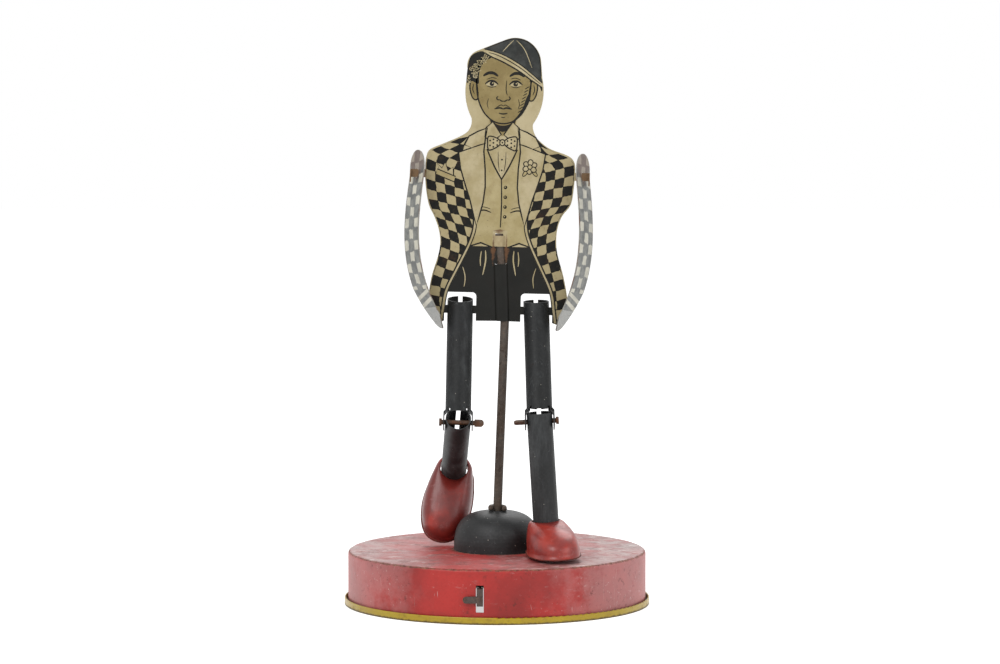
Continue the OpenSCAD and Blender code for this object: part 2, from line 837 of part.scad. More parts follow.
// A finger that rests between two teeth of the ratchet wheel
module click() {
  boss_r = 1.3;
  tip_r = 0.35;
  color(plain_steel) translate([winding_x, 0, arbor_z]) difference() {
    standing(click_y, click_t) hull() {
      rotate(click_angle) translate([click_r, 0]) circle(boss_r);
      rotate(click_angle - 27) translate([ratchet_r + tip_r + 0.2, 0]) circle(tip_r);
    }
    translate(rivet_places()[0] + [0, high_wheel_y, 0]) along(click_rivet_d + 2 * seat, 4);
  }
}

module click_rivets() {
  head_t = 0.5;
  color(plain_steel) for (p = rivet_places()) translate(p + [winding_x, high_wheel_y, arbor_z]) {
    along(click_rivet_d, click_y + click_t - high_wheel_y + head_t);
    translate([0, click_y + click_t + seat - high_wheel_y, 0]) along(click_rivet_d + 0.8, head_t);
  }
}

// A curved strip from its own rivet round to the back of the click
module click_spring() {
  strip_r = click_r + 1.4;
  strip_t = 0.3;
  foot_r = 1.2;
  end = 78;
  color(plain_steel) translate([winding_x, 0, arbor_z]) difference() {
    standing(click_y, click_t) {
      intersection() {
        difference() {
          circle(strip_r + strip_t);
          circle(strip_r);
        }
        polygon([[0, 0], 20 * [cos(end), sin(end)], [-5, 20],
          20 * [cos(spring_foot_angle), sin(spring_foot_angle)]]);
      }
      rotate(spring_foot_angle) {
        translate([click_r, 0]) circle(foot_r);
        translate([click_r, -foot_r / 2]) square([strip_r + strip_t - click_r, foot_r]);
      }
    }
    translate(rivet_places()[1] + [0, high_wheel_y, 0]) along(click_rivet_d + 2 * seat, 4);
  }
}

module arbor(x, d, front, back) {
  translate([x, front, arbor_z]) along(d, back - front);
}

module winding_arbor() {
  color(plain_steel) arbor(winding_x, winding_d, front_plate_y - 1, key_y + key_stem_l - 1);
}

module second_arbor() {
  color(plain_steel) arbor(second_x, arbor_d, front_plate_y - 0.8, back_plate_y + frame_t + 0.8);
}

module cam_arbor() {
  color(plain_steel) arbor(cam_x, arbor_d, -3, back_plate_y + frame_t + 0.8);
}

module second_pinion() {
  color(plain_steel) wheel_at(second_x, high_wheel_y - wheel_t, 2 * wheel_t, arbor_d)
    rotate(180 / pinion_n) gear_outline(pinion_n);
}

module second_wheel() {
  color(wheel_brass) wheel_at(second_x, low_wheel_y, wheel_t, arbor_d) gear_outline(wheel_n);
}

module cam_pinion() {
  color(plain_steel) wheel_at(cam_x, low_wheel_y - 0.4, wheel_t + 0.8, arbor_d)
    rotate(180 / pinion_n) gear_outline(pinion_n);
}

// Four lobes that knock the rod upwards as the wheel turns
module striker_wheel() {
  lobes = 4;
  color(plain_steel) wheel_at(cam_x, -1.5, 3, arbor_d) difference() {
    circle(striker_r);
    for (i = [0 : lobes - 1]) rotate(360 / lobes * (i + 0.5)) translate([striker_r + 1.3, 0]) circle(3.3);
  }
}

// A clockwork plate that hangs from the underside of the drum by its turned top edge
module motor_plate(y) {
  difference() {
    union() {
      translate([frame_left_x, y, 2.2]) cube([frame_right_x - frame_left_x, frame_t, drum_under_z - 2.2]);
      translate([frame_left_x + 4, y, drum_under_z - frame_t])
        cube([frame_right_x - frame_left_x - 8, 4, frame_t]);
    }
    translate([winding_x, y - 1, arbor_z]) along(winding_d + 2 * run, 4);
    for (x = [second_x, cam_x]) translate([x, y - 1, arbor_z]) along(arbor_d + 2 * run, 4);
    for (p = pillar_places()) translate([p[0], y - 1, p[1]]) along(1.4 + 2 * seat, 4);
  }
}

function pillar_places() =
  [[pillar_left_x, pillar_low_z], [pillar_left_x, pillar_high_z], [spring_post_x, arbor_z]];

module motor_front_plate() {
  color(plain_steel) mirror([0, 1, 0]) translate([0, -2 * front_plate_y - frame_t, 0])
    motor_plate(front_plate_y);
}

module motor_back_plate() {
  color(plain_steel) motor_plate(back_plate_y);
}

module motor_pillars() {
  front = front_plate_y + frame_t;
  color(plain_steel) for (p = pillar_places()) {
    translate([p[0], front, p[1]]) along(2 * spring_post_r, back_plate_y - front);
    translate([p[0], front_plate_y - 0.5, p[1]]) along(1.4, back_plate_y + frame_t + 1 - front_plate_y);
  }
}

// The spring winds outwards from the arbor to the post at its right
module mainspring() {
  r_in = winding_d / 2 + spring_t / 2 + slack / 2;
  r_out = spring_post_x - winding_x - spring_post_r - spring_t / 2 - seat;
  steps = spring_turns * 24;
  r = [for (i = [0 : steps]) r_in + (r_out - r_in) * i / steps];
  color(plain_steel) translate([winding_x, 0, arbor_z]) standing(spring_y, spring_w)
    polygon(concat(
      [for (i = [0 : steps]) (r[i] + spring_t / 2) * [cos(15 * i), sin(15 * i)]],
      [for (i = [steps : -1 : 0]) (r[i] - spring_t / 2) * [cos(15 * i), sin(15 * i)]]));
}

// A wing key on the end of the winding arbor, behind the drum
module winding_key() {
  stem_d = winding_d + 2;
  wing_l = 12;
  color(plain_steel) translate([winding_x, key_y, arbor_z]) difference() {
    union() {
      along(stem_d, key_stem_l);
      for (s = [-1, 1]) translate([s * (key_w - 4.4), key_stem_l + 2.4, 0])
        cylinder(r = 4.4, h = 1.4, center = true);
      translate([-(key_w - 4.4), key_stem_l - 2, -0.7]) cube([2 * (key_w - 4.4), wing_l - 4.6, 1.4]);
    }
    translate([0, -1, 0]) along(winding_d + 2 * seat, key_stem_l);
  }
}

// Start lever

// A hanging fork whose cheeks hold the lever's pin
module lever_bracket() {
  cheek_t = 0.7;
  w = 2 * bracket_in + 2 * cheek_t;
  color(plain_steel) translate([slot_x, lever_pin_y, 0]) difference() {
    translate([-w / 2, -3, arbor_z - 3]) cube([w, 6, drum_under_z - arbor_z + 3]);
    translate([-bracket_in, -4, 0]) cube([2 * bracket_in, 8, drum_under_z - cheek_t]);
    translate([0, 0, arbor_z]) across(lever_pin_d + 2 * seat, 20);
  }
}

module lever_pin() {
  l = 2 * bracket_in + 3.4;
  color(plain_steel) translate([slot_x, lever_pin_y, arbor_z]) across(lever_pin_d, l);
}

// The head stands in the drum's slot, and a finger at the tail holds the striker
module start_lever() {
  front_y = -sqrt(pow(drum_r, 2) - pow(slot_x, 2)) - 0.7;
  tail_y = -1.2;
  finger_l = -slot_x - striker_r - 0.4;
  head_w = slot_w - 2 * slack;
  thumb_r = lever_h / 2;
  color(rust_brown) difference() {
    union() {
      translate([slot_x - lever_t / 2, front_y, arbor_z - lever_h / 2])
        cube([lever_t, tail_y - front_y, lever_h]);
      translate([slot_x - head_w / 2, front_y, slot_z + lever_head_up - lever_head_h / 2])
        cube([head_w, 3.6, lever_head_h]);
      translate([slot_x, front_y + lever_t / 2, slot_z - thumb_down])
        rotate([0, 0, -0.9 * atan(slot_x / drum_r)]) translate([thumb_r - thumb_w, -lever_t / 2, 0]) {
          translate([0, 0, -thumb_r]) cube([thumb_w - thumb_r + lever_t / 2, lever_t, lever_h]);
          along(lever_h, lever_t);
        }
      translate([slot_x, lever_pin_y, arbor_z]) across(lever_h + 2.4, lever_t);
      translate([slot_x, tail_y - lever_t, arbor_z - lever_h / 2]) cube([finger_l, lever_t, lever_h]);
    }
    translate([slot_x, lever_pin_y, arbor_z]) across(lever_pin_d + 2 * run, 20);
  }
}

drum();
foot_ring();
dome();
motor_front_plate();
motor_back_plate();
motor_pillars();
mainspring();
lever_bracket();
lever_pin();
start_lever();
winding_key();
winding_arbor();
ratchet_wheel();
great_wheel();
click();
click_rivets();
click_spring();
second_arbor();
second_pinion();
second_wheel();
cam_arbor();
cam_pinion();
striker_wheel();
rod();
rod_stop_clip();
figure_plate();
left_arm();
right_arm();
left_thigh();
right_thigh();
left_shin();
right_shin();
left_knee_pin();
right_knee_pin();
left_shoe();
right_shoe();
left_shoe_rivet();
right_shoe_rivet();
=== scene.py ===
import json
import math
import random

import bmesh
import bpy
from mathutils import Matrix, Vector, noise


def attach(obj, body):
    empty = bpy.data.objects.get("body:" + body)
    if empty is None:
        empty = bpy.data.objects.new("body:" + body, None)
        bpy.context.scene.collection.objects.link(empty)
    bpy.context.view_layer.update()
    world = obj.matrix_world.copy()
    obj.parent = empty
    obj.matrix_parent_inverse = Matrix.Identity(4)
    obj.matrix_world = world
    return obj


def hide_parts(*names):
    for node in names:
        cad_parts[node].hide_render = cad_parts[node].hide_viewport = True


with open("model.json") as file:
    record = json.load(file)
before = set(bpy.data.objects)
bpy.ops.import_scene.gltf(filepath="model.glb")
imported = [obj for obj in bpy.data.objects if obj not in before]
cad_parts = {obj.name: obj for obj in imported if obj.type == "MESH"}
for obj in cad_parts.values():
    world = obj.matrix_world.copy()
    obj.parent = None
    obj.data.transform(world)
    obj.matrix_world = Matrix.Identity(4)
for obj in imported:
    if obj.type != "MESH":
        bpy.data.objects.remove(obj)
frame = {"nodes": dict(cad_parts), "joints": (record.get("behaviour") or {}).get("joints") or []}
nodes = frame["nodes"]
joints = {j["name"]: j for j in frame["joints"]}
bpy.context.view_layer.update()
MM = 0.001


# Shader building

class Value:
    """A number, colour or place that varies over a surface, with arithmetic that adds Math nodes."""

    def __init__(self, paint, socket):
        self.paint = paint
        self.socket = socket

    def maths(self, operation, *values):
        return self.paint.node("ShaderNodeMath", {"operation": operation}, dict(enumerate(values)))

    def __add__(self, other):
        return self.maths("ADD", self, other)

    def __sub__(self, other):
        return self.maths("SUBTRACT", self, other)

    def __rsub__(self, other):
        return self.maths("SUBTRACT", other, self)

    def __mul__(self, other):
        return self.maths("MULTIPLY", self, other)

    def __truediv__(self, other):
        return self.maths("DIVIDE", self, other)

    def __pow__(self, other):
        return self.maths("POWER", self, other)

    def __gt__(self, other):
        return self.maths("GREATER_THAN", self, other)

    def __lt__(self, other):
        return self.maths("LESS_THAN", self, other)

    def __mod__(self, other):
        return self.maths("FLOORED_MODULO", self, other)

    def __abs__(self):
        return self.maths("ABSOLUTE", self)

    __radd__ = __add__

    def most(self, other):
        return self.maths("MAXIMUM", self, other)


class Paint:
    """A material in the making."""

    def __init__(self, name):
        self.material = bpy.data.materials.new(name)
        self.material.use_nodes = True
        self.tree = self.material.node_tree
        self.shader = self.tree.nodes["Principled BSDF"]
        self.place = self.node("ShaderNodeTexCoord", out="Object")

    def node(self, kind, settings=None, inputs=None, out=0):
        """Adds a node with its settings and the values or links of its sockets, and returns one output."""
        made = self.tree.nodes.new(kind)
        for name, setting in (settings or {}).items():
            setattr(made, name, setting)
        for name, value in (inputs or {}).items():
            self.feed(made.inputs[name], value)
        return Value(self, made.outputs[out])

    def feed(self, socket, value):
        if isinstance(value, Value):
            self.tree.links.new(value.socket, socket)
        else:
            socket.default_value = value

    def finish(self, **inputs):
        """Feeds the shader; a name's underscores stand for spaces."""
        for name, value in inputs.items():
            self.feed(self.shader.inputs[name.replace("_", " ")], value)
        return self.material

    def noise(self, size, detail=3.0, rough=0.55, stretch=(1, 1, 1)):
        """Smooth noise from 0 to 1 whose blotches are about size millimetres."""
        place = self.place
        if stretch != (1, 1, 1):
            place = self.node("ShaderNodeMapping", {}, {"Vector": place, "Scale": stretch})
        return self.node("ShaderNodeTexNoise", {}, {
            "Vector": place, "Scale": 1 / (size * MM), "Detail": detail, "Roughness": rough})

    def cells(self, size):
        """Distance to the nearest of points scattered about size millimetres apart, from 0."""
        return self.node("ShaderNodeTexVoronoi", {}, {
            "Vector": self.place, "Scale": 1 / (size * MM)}, out="Distance")

    def step(self, value, low, high):
        """0 where value is under low, 1 where it is over high, smooth in between."""
        return self.node("ShaderNodeMapRange", {"interpolation_type": "SMOOTHSTEP"}, {
            "Value": value, "From Min": low, "From Max": high})

    def blots(self, low, high, size, detail=3.0, rough=0.55, stretch=(1, 1, 1)):
        """Soft-edged blots of noise, the fewer and smaller the higher low and high are."""
        return self.step(self.noise(size, detail, rough, stretch=stretch), low, high)

    def mix(self, amount, first, second):
        """A colour that turns from first to second as amount goes from 0 to 1."""
        made = self.tree.nodes.new("ShaderNodeMix")
        made.data_type = "RGBA"
        made.clamp_factor = True
        self.feed(made.inputs[0], amount)
        self.feed(made.inputs[6], first)
        self.feed(made.inputs[7], second)
        return Value(self, made.outputs[2])

    def bump(self, height, depth, strength=1.0):
        """A surface normal from a height that stands for depth millimetres."""
        return self.node("ShaderNodeBump", {}, {
            "Height": height, "Distance": depth * MM, "Strength": strength})

    def whole(self, value):
        return self.node("ShaderNodeMath", {"operation": "FLOOR"}, {0: value})

    def reach(self, vector, direction):
        """How far a vector goes in a direction."""
        return self.node("ShaderNodeVectorMath", {"operation": "DOT_PRODUCT"},
                         {0: vector, 1: direction}, out="Value")

    def split(self, vector):
        """The three coordinates of a vector."""
        made = self.tree.nodes.new("ShaderNodeSeparateXYZ")
        self.feed(made.inputs[0], vector)
        return [Value(self, out) for out in made.outputs]

    def axes(self):
        """The place on the toy: across, back and up in millimetres."""
        return [axis * (1 / MM) for axis in self.split(self.place)]


def colour(red, green, blue):
    """A colour as it shows on a screen, from 0 to 255, in the units that shaders use."""
    def linear(c):
        c /= 255
        return c / 12.92 if c < 0.04045 else ((c + 0.055) / 1.055) ** 2.4
    return (linear(red), linear(green), linear(blue), 1.0)


def dress(material, *names):
    """Gives a material to CAD nodes."""
    for name in names:
        mesh = nodes[name].data
        mesh.materials.clear()
        mesh.materials.append(material)


# Finishes

RUST = colour(96, 62, 42)
RUST_DARK = colour(48, 34, 28)
RUST_PALE = colour(134, 104, 80)
RED = colour(184, 48, 43)
RED_DEEP = colour(138, 34, 30)
PINK_WEAR_AND_SHEEN = colour(208, 164, 162)
CHALK = colour(216, 206, 202)
ASH = colour(186, 168, 166)
YELLOW = colour(190, 168, 22)
YELLOW_DEEP = colour(160, 128, 24)
SLATE = colour(38, 40, 42)
SLATE_PALE = colour(84, 87, 88)
INK = colour(19, 19, 17)
INK_PALE = colour(38, 38, 35)
CREAM = colour(186, 173, 139)
CREAM_DEEP = colour(168, 154, 116)
BUFF = colour(178, 164, 124)
BUFF_DEEP = colour(162, 147, 104)
TAN = colour(150, 134, 92)
TAN_DEEP = colour(134, 118, 78)
TIN = colour(150, 148, 142)


def top_of(name):
    """Height of a CAD node's top, in millimetres."""
    return max(v.co.z for v in nodes[name].data.vertices) / MM


def rim_of(name):
    """Largest distance of a CAD node from the middle of the drum, in millimetres."""
    return max(math.hypot(v.co.x, v.co.y) for v in nodes[name].data.vertices) / MM


def drum_enamel():
    """Crimson enamel, rubbed chalky on its top, with a painted sheen that turns it pink and chalky towards
    its left and right sides, and chipped to rust along its edges.
    """
    p = Paint("worn red enamel of the drum")
    x, y, z = p.axes()
    top, rim = top_of("drum"), rim_of("drum")
    # Painted sheen: away from this line across the drum, towards its left and right sides, the enamel is
    # painted pinker and chalkier, on the wall and on the top.
    sheen_gap_x = -6
    out = (x * x + y * y) ** 0.5
    on_top = p.step(z, top - 0.5, top - 0.1)
    fine = p.noise(1.3, 5, 0.7)
    blotch = p.noise(15, 6, 0.66)
    base = p.mix(p.blots(0.3, 0.7, 34, 5, 0.6), RED, RED_DEEP)
    base = p.mix(p.step(fine, 0.45, 0.8) * 0.35, base, RED_DEEP)
    # How far a point lies towards the left or right side, which sets how strong the painted sheen is.
    side_sheen = p.step(abs(x - sheen_gap_x), rim * 0.15, rim * 0.95)
    # Pink blots of the enamel, gathered towards the sides; on the wall they are laid on as painted sheen.
    bloom = p.step(blotch + side_sheen * 0.3, 0.5, 0.78)
    base = p.mix(bloom * (1 - on_top) * side_sheen * 0.42, base, PINK_WEAR_AND_SHEEN)
    # Ash-grey blots on the top, almost only towards the sides, as painted sheen.
    rubbed = p.blots(0.38, 0.62, 9, 7, 0.72)
    base = p.mix(on_top * (rubbed * 0.5 + 0.45) * (0.04 + side_sheen), base, ASH)
    streaks = (p.blots(0.58, 0.7, 4, 6, 0.75, stretch=(0.5, 0.5, 1.6))
               * p.blots(0.42, 0.58, 24, 3))
    base = p.mix(streaks * (0.22 + on_top * 0.4), base, ASH)
    # Chalky worn blots on the top, much stronger towards the sides as painted sheen.
    worn = p.blots(0.5, 0.64, 14, 9, 0.78, stretch=(1, 1.2, 1))
    base = p.mix(worn * on_top * (0.24 + side_sheen * 0.5), base, CHALK)
    # Brown tarnish on the top, weaker towards the sides where the painted sheen lies.
    tarnish = p.blots(0.5, 0.6, 13, 9, 0.8, stretch=(1, 1.2, 1))
    base = p.mix(tarnish * on_top * (0.8 - side_sheen * 0.4), base, colour(106, 52, 44))
    # Chalky scuffs, more of them towards the sides as painted sheen.
    scuffs = (p.blots(0.6, 0.68, 1.5, 5, 0.75)
              * p.step(p.noise(13, 4, 0.6) + side_sheen * 0.16, 0.5, 0.66))
    base = p.mix(scuffs * 0.55, base, CHALK)
    brown = (p.blots(0.56, 0.68, 1.7, 6, 0.8)
             * p.step(p.noise(16, 4, 0.6) + side_sheen * 0.1, 0.46, 0.62))
    base = p.mix(brown * 0.6, base, colour(98, 40, 34))
    grime = p.blots(0.56, 0.72, 3.4, 6, 0.72) * p.blots(0.4, 0.62, 19, 3)
    base = p.mix(grime * 0.55, base, RUST_DARK)
    edge = p.step(abs(z - top + 0.4) + abs(out - rim + 0.4) * 0.7 + p.noise(3, 6, 0.75) * 3, 2.4, 1.4)
    foot = p.step(z + p.noise(2.4, 5, 0.7) * 3, 5.2, 3.4)
    collar = p.step(abs(out - rim_of("dome") - 0.4) + p.noise(3, 5, 0.7) * 5, 3.8, 2.4) * on_top
    chips = p.blots(0.72, 0.75, 1.1, 4, 0.7)
    bare = edge.most(foot).most(chips).most(collar)
    base = p.mix(bare * 0.8, base, p.mix(p.blots(0.4, 0.62, 1.8, 6, 0.75), RUST_DARK, RUST_PALE))
    scratch = (p.step(abs(p.noise(16, 1.0, stretch=(1, 1, 0.2)) - 0.5), 0.0022, 0.001)
               * p.blots(0.58, 0.64, 11, 2))
    base = p.mix(scratch * 0.35, base, CHALK)
    rough = 0.3 + fine * 0.14 + bloom * 0.12 + grime * 0.2 + bare * 0.25
    relief = fine * 0.3 - bare * 0.9 - scratch * 0.5 + p.noise(22, 3) * 1.6
    return p.finish(Base_Color=base, Roughness=rough + on_top * 0.12, Normal=p.bump(relief, 0.07),
                    Specular_IOR_Level=0.4)


def shoe_enamel(name, dark):
    """Glossy red enamel with dull patches, rubbed along its edges; dark adds painted shade, as more and
    larger dark patches.
    """
    p = Paint(name)
    fine = p.noise(1.5, 5, 0.7)
    base = p.mix(p.blots(0.35, 0.65, 9, 5, 0.6), colour(164, 50, 38), colour(130, 36, 30))
    # The dark patches are dull enamel and painted shade together: the higher dark, the more and larger they
    # are.
    dull = p.blots(0.62 - dark * 0.5, 0.8 - dark * 0.3, 12, 4, 0.55)
    base = p.mix(dull * 0.8, base, colour(96, 32, 27))
    haze = p.blots(0.55, 0.74, 3.5, 7, 0.75)
    base = p.mix(haze * 0.22, base, PINK_WEAR_AND_SHEEN)
    pits = p.blots(0.69, 0.73, 1.2, 4, 0.7)
    base = p.mix(pits * 0.8, base, RUST_DARK)
    rough = 0.26 + fine * 0.16 + haze * 0.2 + pits * 0.3
    relief = fine * 0.5 - pits + p.noise(5, 3) * 1.5
    return p.finish(Base_Color=base, Roughness=rough, Normal=p.bump(relief, 0.08))


def yellow_enamel():
    p = Paint("worn yellow enamel")
    x, y, z = p.axes()
    broad = p.noise(14, 5)
    stain = p.blots(0.5, 0.72, 4, 6, 0.7)
    base = p.mix(broad, YELLOW, YELLOW_DEEP)
    base = p.mix(stain * 0.4, base, RUST)
    # Darker towards the bottom: the lowest two millimetres of the ring join the chips and turn dark brown.
    low = p.step(z + p.noise(1.8, 5, 0.7) * 1.6, 1.9, 1.1)
    chips = p.blots(0.69, 0.73, 1.4, 4, 0.7).most(low)
    base = p.mix(chips * 0.85, base, RUST_DARK)
    return p.finish(Base_Color=base, Roughness=0.3 + stain * 0.25 + chips * 0.2,
                    Normal=p.bump(0 - chips, 0.05))


def black_enamel(name, pale=0.5, along=(1, 1, 0.25), rust=0.6, gloss=0.18):
    """Satin slate-black enamel that has rubbed pale in streaks and rusted in spots."""
    p = Paint(name)
    fine = p.noise(1.1, 5, 0.72)
    rub = p.blots(0.6 - pale * 0.25, 0.82 - pale * 0.1, 8, 7, 0.72, stretch=along)
    base = p.mix(p.noise(16, 5), INK, SLATE)
    base = p.mix(rub * pale, base, SLATE_PALE)
    base = p.mix(p.step(fine, 0.4, 0.75) * 0.3, base, colour(60, 60, 60))
    rusty = p.blots(0.6, 0.74, 4.5, 6, 0.72)
    base = p.mix(rusty * rust, base, RUST_DARK)
    specks = p.step(p.cells(2.4), 0.13, 0.06) * p.blots(0.48, 0.58, 7, 2)
    base = p.mix(specks * 0.8, base, colour(150, 146, 136))
    scratch = (p.step(abs(p.noise(5, 2, stretch=(1, 1, 0.3)) - 0.5), 0.005, 0.002)
               * p.blots(0.52, 0.62, 9, 2))
    base = p.mix(scratch * 0.45, base, SLATE_PALE)
    rough = 0.4 + fine * 0.2 + rusty * 0.18
    relief = fine * 0.6 + rub * 0.4 - rusty * 0.5 + specks * 0.4
    return p.finish(Base_Color=base, Roughness=rough, Normal=p.bump(relief, 0.06), Specular_IOR_Level=gloss)


def rusty_steel(name, shade, other):
    p = Paint(name)
    flakes = p.noise(1.5, 6, 0.75)
    base = p.mix(p.blots(0.35, 0.65, 6, 5, 0.6), shade, other)
    base = p.mix(p.step(flakes, 0.5, 0.72) * 0.5, base, RUST_PALE)
    base = p.mix(p.blots(0.56, 0.68, 2.4, 5, 0.7) * 0.7, base, RUST_DARK)
    bare = p.blots(0.58, 0.74, 3.2, 5, 0.7)
    base = p.mix(bare * 0.4, base, colour(118, 112, 104))
    return p.finish(Base_Color=base, Roughness=0.62 - bare * 0.18, Metallic=bare * 0.3,
                    Specular_IOR_Level=0.25, Normal=p.bump(flakes, 0.12))


def bare_steel(name, shade, gloss=0.38):
    p = Paint(name)
    fine = p.noise(1.2, 5, 0.7, stretch=(1, 0.2, 1))
    stain = p.blots(0.52, 0.75, 6, 5, 0.65)
    base = p.mix(fine, shade, colour(120, 118, 112))
    base = p.mix(stain * 0.6, base, RUST)
    return p.finish(Base_Color=base, Metallic=1 - stain * 0.7, Roughness=gloss + fine * 0.15 + stain * 0.25,
                    Normal=p.bump(fine, 0.02))


dress(drum_enamel(), "drum")
dress(yellow_enamel(), "foot_ring")
dress(black_enamel("black enamel of the dome", 0.4, (1, 1, 1), 0.3, 0.32), "dome")
dress(black_enamel("black enamel of the thighs", 0.45, rust=0.4), "left_thigh", "right_thigh")
dress(black_enamel("black enamel of the shins", 0.75, rust=0.3, gloss=0.28), "left_shin", "right_shin")
dress(rusty_steel("brown wire", RUST, colour(86, 76, 68)),
      "left_knee_pin", "right_knee_pin", "left_shoe_rivet", "right_shoe_rivet")
dress(rusty_steel("dark wire", colour(78, 66, 57), colour(88, 82, 76)), "rod", "rod_stop_clip")
dress(rusty_steel("dark rusted tin", colour(70, 54, 48), colour(84, 74, 70)), "start_lever")
dress(bare_steel("dull steel", TIN),
      "motor_front_plate", "motor_back_plate", "motor_pillars", "lever_bracket", "lever_pin", "winding_key",
      "winding_arbor", "ratchet_wheel", "click", "click_rivets", "second_arbor", "second_pinion", "cam_arbor",
      "cam_pinion", "striker_wheel")
dress(bare_steel("blued spring steel", colour(84, 92, 108), 0.3), "mainspring", "click_spring")
dress(bare_steel("dull brass", colour(176, 146, 84), 0.34), "great_wheel", "second_wheel")


# The print on the figure

HIP_UP = 4.9
PLATE_FRONT_Y = -1.475
shoulders = [Vector(joints[s + "_shoulder"]["pos_m"]) / MM for s in ("left", "right")]
hips = [Vector(joints[s + "_hip"]["pos_m"]) / MM for s in ("left", "right")]
figure_x = (shoulders[1] - shoulders[0]).normalized()
figure_z = figure_x.cross(Vector((0, 1, 0)))
figure_foot = (hips[0] + hips[1]) / 2 - figure_z * HIP_UP
FILM = 0.02
BOLD = 1.25
ARM_TURN = {"left": 25, "right": -24}
ARM_HANG = 8
ARM_CHECK = 5.0
COAT_CHECK = 4.35
# Down an arm from its shoulder
SLEEVE_END = 52
CUFF_BANDS = (54.5, 58)
HAND_TOP = 60
PIPING = 1.5
TROUSER_TOP = 33.4
TROUSER_HALF = 27.5
STRAP_TOP = 38.4
STRAP_HALF = 2.7


def on_figure(x, z, lift=0.0):
    """A point on the front of the plate: x across and z up in millimetres, lifted off it by lift."""
    place = figure_foot + figure_x * x + figure_z * z
    return Vector((place.x, PLATE_FRONT_Y - lift, place.z)) * MM


def bend(points, closed=False, steps=6):
    """A smooth curve through points of x and z."""
    n = len(points)
    made = []
    for i in range(n if closed else n - 1):
        around = [points[(i + k) % n] if closed else points[min(max(i + k, 0), n - 1)] for k in (-1, 0, 1, 2)]
        for j in range(steps):
            t = j / steps
            made.append(tuple(
                0.5 * (2 * b + (c - a) * t + (2 * a - 5 * b + 4 * c - d) * t ** 2
                       + (3 * b - a - 3 * c + d) * t ** 3)
                for a, b, c, d in zip(*around)))
    if not closed:
        made.append(tuple(points[-1]))
    return made


def ring(x, z, wide, high=None, n=20, turn=0.0):
    """Points round an oval."""
    high = high or wide
    c, s = math.cos(turn), math.sin(turn)
    rim = [(wide * math.cos(math.tau * i / n), high * math.sin(math.tau * i / n)) for i in range(n)]
    return [(x + a * c - b * s, z + a * s + b * c) for a, b in rim]


def as_drawn(points):
    return points


def mirrored(points):
    return [(-x, z) for x, z in points]


def both(points):
    """A half outline and its mirror image, joined."""
    return points + mirrored([(x, z) for x, z in reversed(points) if x > 0.01])


class Ink:
    """One colour of the print: flat films on the front of the plate, higher levels over lower ones."""

    def __init__(self, name, material, slot="printed_tin"):
        self.name, self.material, self.slot = name, material, slot
        self.bm = bmesh.new()
        self.grid = self.bm.loops.layers.uv.new("weave")

    def patch(self, level, outline):
        """A filled outline."""
        area = sum(a[0] * b[1] - b[0] * a[1] for a, b in zip(outline, outline[1:] + outline[:1]))
        if area < 0:
            outline = outline[::-1]
        corners = [self.bm.verts.new(on_figure(x, z, FILM * (level + 1))) for x, z in outline]
        face = self.bm.faces.new(corners)
        face.normal_update()
        bmesh.ops.triangulate(self.bm, faces=[face])

    def edged(self, level, outline, black, width):
        """A filled outline with a drawn edge."""
        self.patch(level, outline)
        black.line(level + 1, outline, width, smooth=False, closed=True)

    def line(self, level, points, width=0.5, ends=0.35, smooth=True, closed=False):
        """A drawn line, thinner towards its ends."""
        path = [Vector(p) for p in (bend(points, closed) if smooth else points)]
        if closed:
            path.append(path[0])
        sides = []
        for i, p in enumerate(path):
            along = path[min(i + 1, len(path) - 1)] - path[max(i - 1, 0)]
            if closed and i in (0, len(path) - 1):
                along = path[1] - path[-2]
            across = Vector((-along.y, along.x)).normalized()
            t = i / (len(path) - 1)
            half = width * BOLD / 2 * (1 if closed else ends + (1 - ends) * math.sin(math.pi * t) ** 0.6)
            sides.append([self.bm.verts.new(on_figure(*(p + across * half * s), FILM * (level + 1)))
                          for s in (-1, 1)])
        for (a, b), (c, d) in zip(sides, sides[1:]):
            self.bm.faces.new((a, c, d, b))

    def cloth(self, level, outer, inner, cell):
        """A strip between two edges that carries a woven pattern, whose rows and columns follow the edges."""
        rows, columns = 60, 10
        edges = [evenly(bend(edge), rows) for edge in (outer, inner)]
        run = 0.0
        grid = []
        for i, (a, b) in enumerate(zip(*edges)):
            if i:
                run += ((a - edges[0][i - 1]).length + (b - edges[1][i - 1]).length) / 2
            grid.append([(self.bm.verts.new(on_figure(*a.lerp(b, j / columns), FILM * (level + 1))),
                          ((a - b).length * j / columns / cell, run / cell)) for j in range(columns + 1)])
        for upper, lower in zip(grid, grid[1:]):
            for j in range(columns):
                corners = [upper[j], lower[j], lower[j + 1], upper[j + 1]]
                if outer[0][0] > inner[0][0]:
                    corners.reverse()
                face = self.bm.faces.new([c[0] for c in corners])
                for loop, corner in zip(face.loops, corners):
                    loop[self.grid].uv = corner[1]

    def print(self):
        mesh = bpy.data.meshes.new(self.name)
        self.bm.to_mesh(mesh)
        self.bm.free()
        mesh.materials.append(self.material)
        film = bpy.data.objects.new(self.name, mesh)
        bpy.context.scene.collection.objects.link(film)
        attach(film, "figure")


def evenly(path, count):
    """Points at equal distances along a path."""
    path = [Vector(p) for p in path]
    lengths = [0.0]
    for a, b in zip(path, path[1:]):
        lengths.append(lengths[-1] + (b - a).length)
    made, k = [], 0
    for i in range(count + 1):
        want = lengths[-1] * i / count
        while k < len(path) - 2 and lengths[k + 1] < want:
            k += 1
        made.append(path[k].lerp(path[k + 1], (want - lengths[k]) / max(lengths[k + 1] - lengths[k], 1e-9)))
    return made


